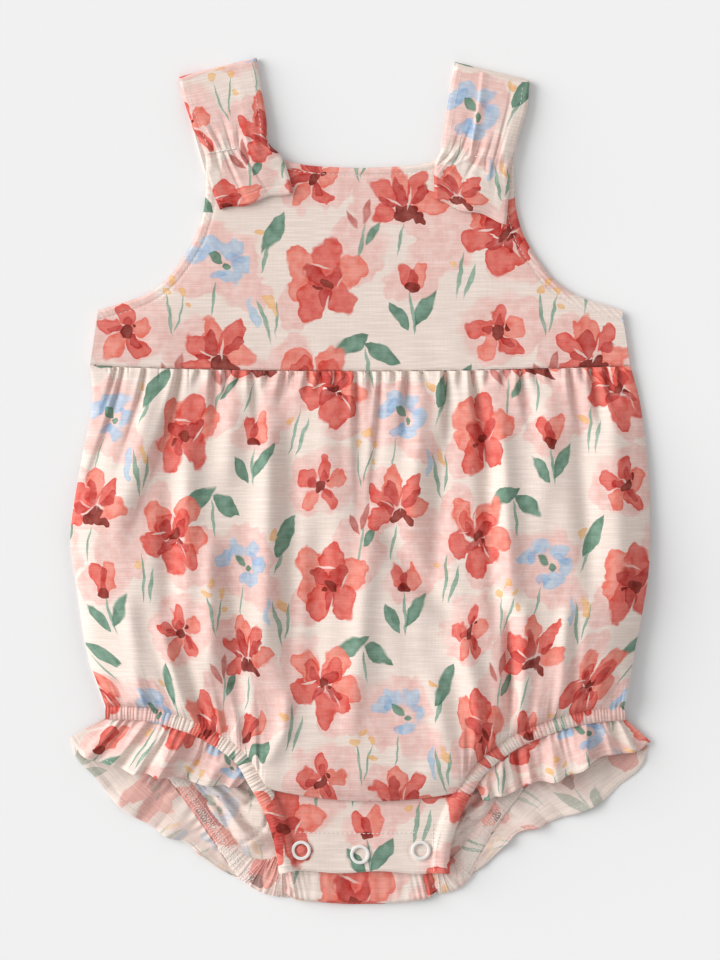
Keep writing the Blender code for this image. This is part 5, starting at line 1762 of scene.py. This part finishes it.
# ------------------------------------------------------------------ stage

SENSOR_WIDTH = 36.0
KEY_HEADING = (0.866, -0.265, -0.423)     # from the upper left, low over the cloth


class SEW_OT_stage(bpy.types.Operator):
    """Lay the pale floor and set the soft light and the camera straight above"""
    bl_idname = "romper.stage"
    bl_label = "Stage"

    def execute(self, context):
        stage = context.scene.romper_stage
        bare_scene()
        bpy.ops.mesh.primitive_plane_add(size=6.0, location=(0.0, 0.0, 0.0))
        floor = context.object
        floor.name = "floor"
        bench = Bench("floor_paint")
        tooth = bench.bump(bench.grain(900.0, 2.0), 0.05, 0.0002)
        floor.data.materials.append(bench.finish(Base_Color=opaque(stage.floor), Roughness=0.75,
                                                 Normal=tooth, Specular_IOR_Level=0.2))
        camera = bpy.data.cameras.new("camera")
        camera.sensor_width = SENSOR_WIDTH
        camera.lens = camera.sensor_width * stage.camera_height / stage.view_length
        holder = bpy.data.objects.new("camera", camera)
        holder.location = (0.0, -0.0002, stage.camera_height)
        context.scene.collection.objects.link(holder)
        context.scene.camera = holder
        light = bpy.data.lights.new("key", "SUN")
        light.energy = stage.key_strength
        light.angle = stage.key_spread
        key = bpy.data.objects.new("key", light)
        key.rotation_euler = Vector(KEY_HEADING).to_track_quat("-Z", "Y").to_euler()
        context.scene.collection.objects.link(key)
        world = bpy.data.worlds.new("soft_room")
        world.use_nodes = True
        room = world.node_tree.nodes["Background"].inputs
        room["Color"].default_value = (1.0, 1.0, 1.0, 1.0)
        room["Strength"].default_value = stage.fill
        context.scene.world = world
        context.scene.view_settings.view_transform = "Standard"
        return {"FINISHED"}


RESIN_SHADED, RESIN_CLEAR = (0.74, 0.72, 0.69, 1.0), (0.8, 0.78, 0.75, 1.0)
WRONG_SIDE, INSIDE_SEAM = 0.5, 0.3        # how much paler the print is than outside


class SEW_OT_finishes(bpy.types.Operator):
    """Mix the printed linen, its wrong side, the thread and the snap resin"""
    bl_idname = "romper.finishes"
    bl_label = "Finishes"

    def execute(self, context):
        cloth = context.scene.romper_cloth
        linen("printed_linen", cloth)
        linen("linen_wrong_side", cloth, WRONG_SIDE)
        linen("linen_inside_seam", cloth, INSIDE_SEAM)
        thread = Bench("white_thread")
        shaded = opaque([value * 0.9 for value in cloth.thread])
        thread.finish(Base_Color=thread.blend(thread.grain(2600.0, 1.0), shaded,
                                              opaque(cloth.thread)), Roughness=0.6)
        resin = Bench("snap_resin")
        haze = resin.grain(320.0, 2.0)
        resin.finish(Base_Color=resin.blend(haze, RESIN_SHADED, RESIN_CLEAR),
                     Roughness=haze * 0.12 + 0.28, Specular_IOR_Level=0.5)
        return {"FINISHED"}


# ------------------------------------------------------------------ panel and order

STEPS = (SEW_OT_stage, SEW_OT_finishes, SEW_OT_back_body, SEW_OT_front_body, SEW_OT_yokes,
         SEW_OT_straps, SEW_OT_casings, SEW_OT_frills, SEW_OT_crotch, SEW_OT_snaps,
         SEW_OT_stitching)


class SEW_PT_romper(bpy.types.Panel):
    """Lists the romper's sewing steps in order"""
    bl_label = "Bubble Romper"
    bl_idname = "SEW_PT_romper"
    bl_space_type = "VIEW_3D"
    bl_region_type = "UI"
    bl_category = "Romper"

    def draw(self, context):
        for group in (context.scene.romper_cloth, context.scene.romper_stage):
            box = self.layout.box()
            for name in group.__annotations__:
                box.prop(group, name)
        for step in STEPS:
            self.layout.operator(step.bl_idname)


CLASSES = (RomperCloth, RomperStage, *STEPS, SEW_PT_romper)


def register():
    for cls in CLASSES:
        bpy.utils.register_class(cls)
    bpy.types.Scene.romper_cloth = bpy.props.PointerProperty(type=RomperCloth)
    bpy.types.Scene.romper_stage = bpy.props.PointerProperty(type=RomperStage)


def unregister():
    del bpy.types.Scene.romper_cloth
    del bpy.types.Scene.romper_stage
    for cls in reversed(CLASSES):
        bpy.utils.unregister_class(cls)


def main():
    register()
    for step in STEPS:
        group, name = step.bl_idname.split(".")
        getattr(getattr(bpy.ops, group), name)()


if __name__ == "__main__":
    main()
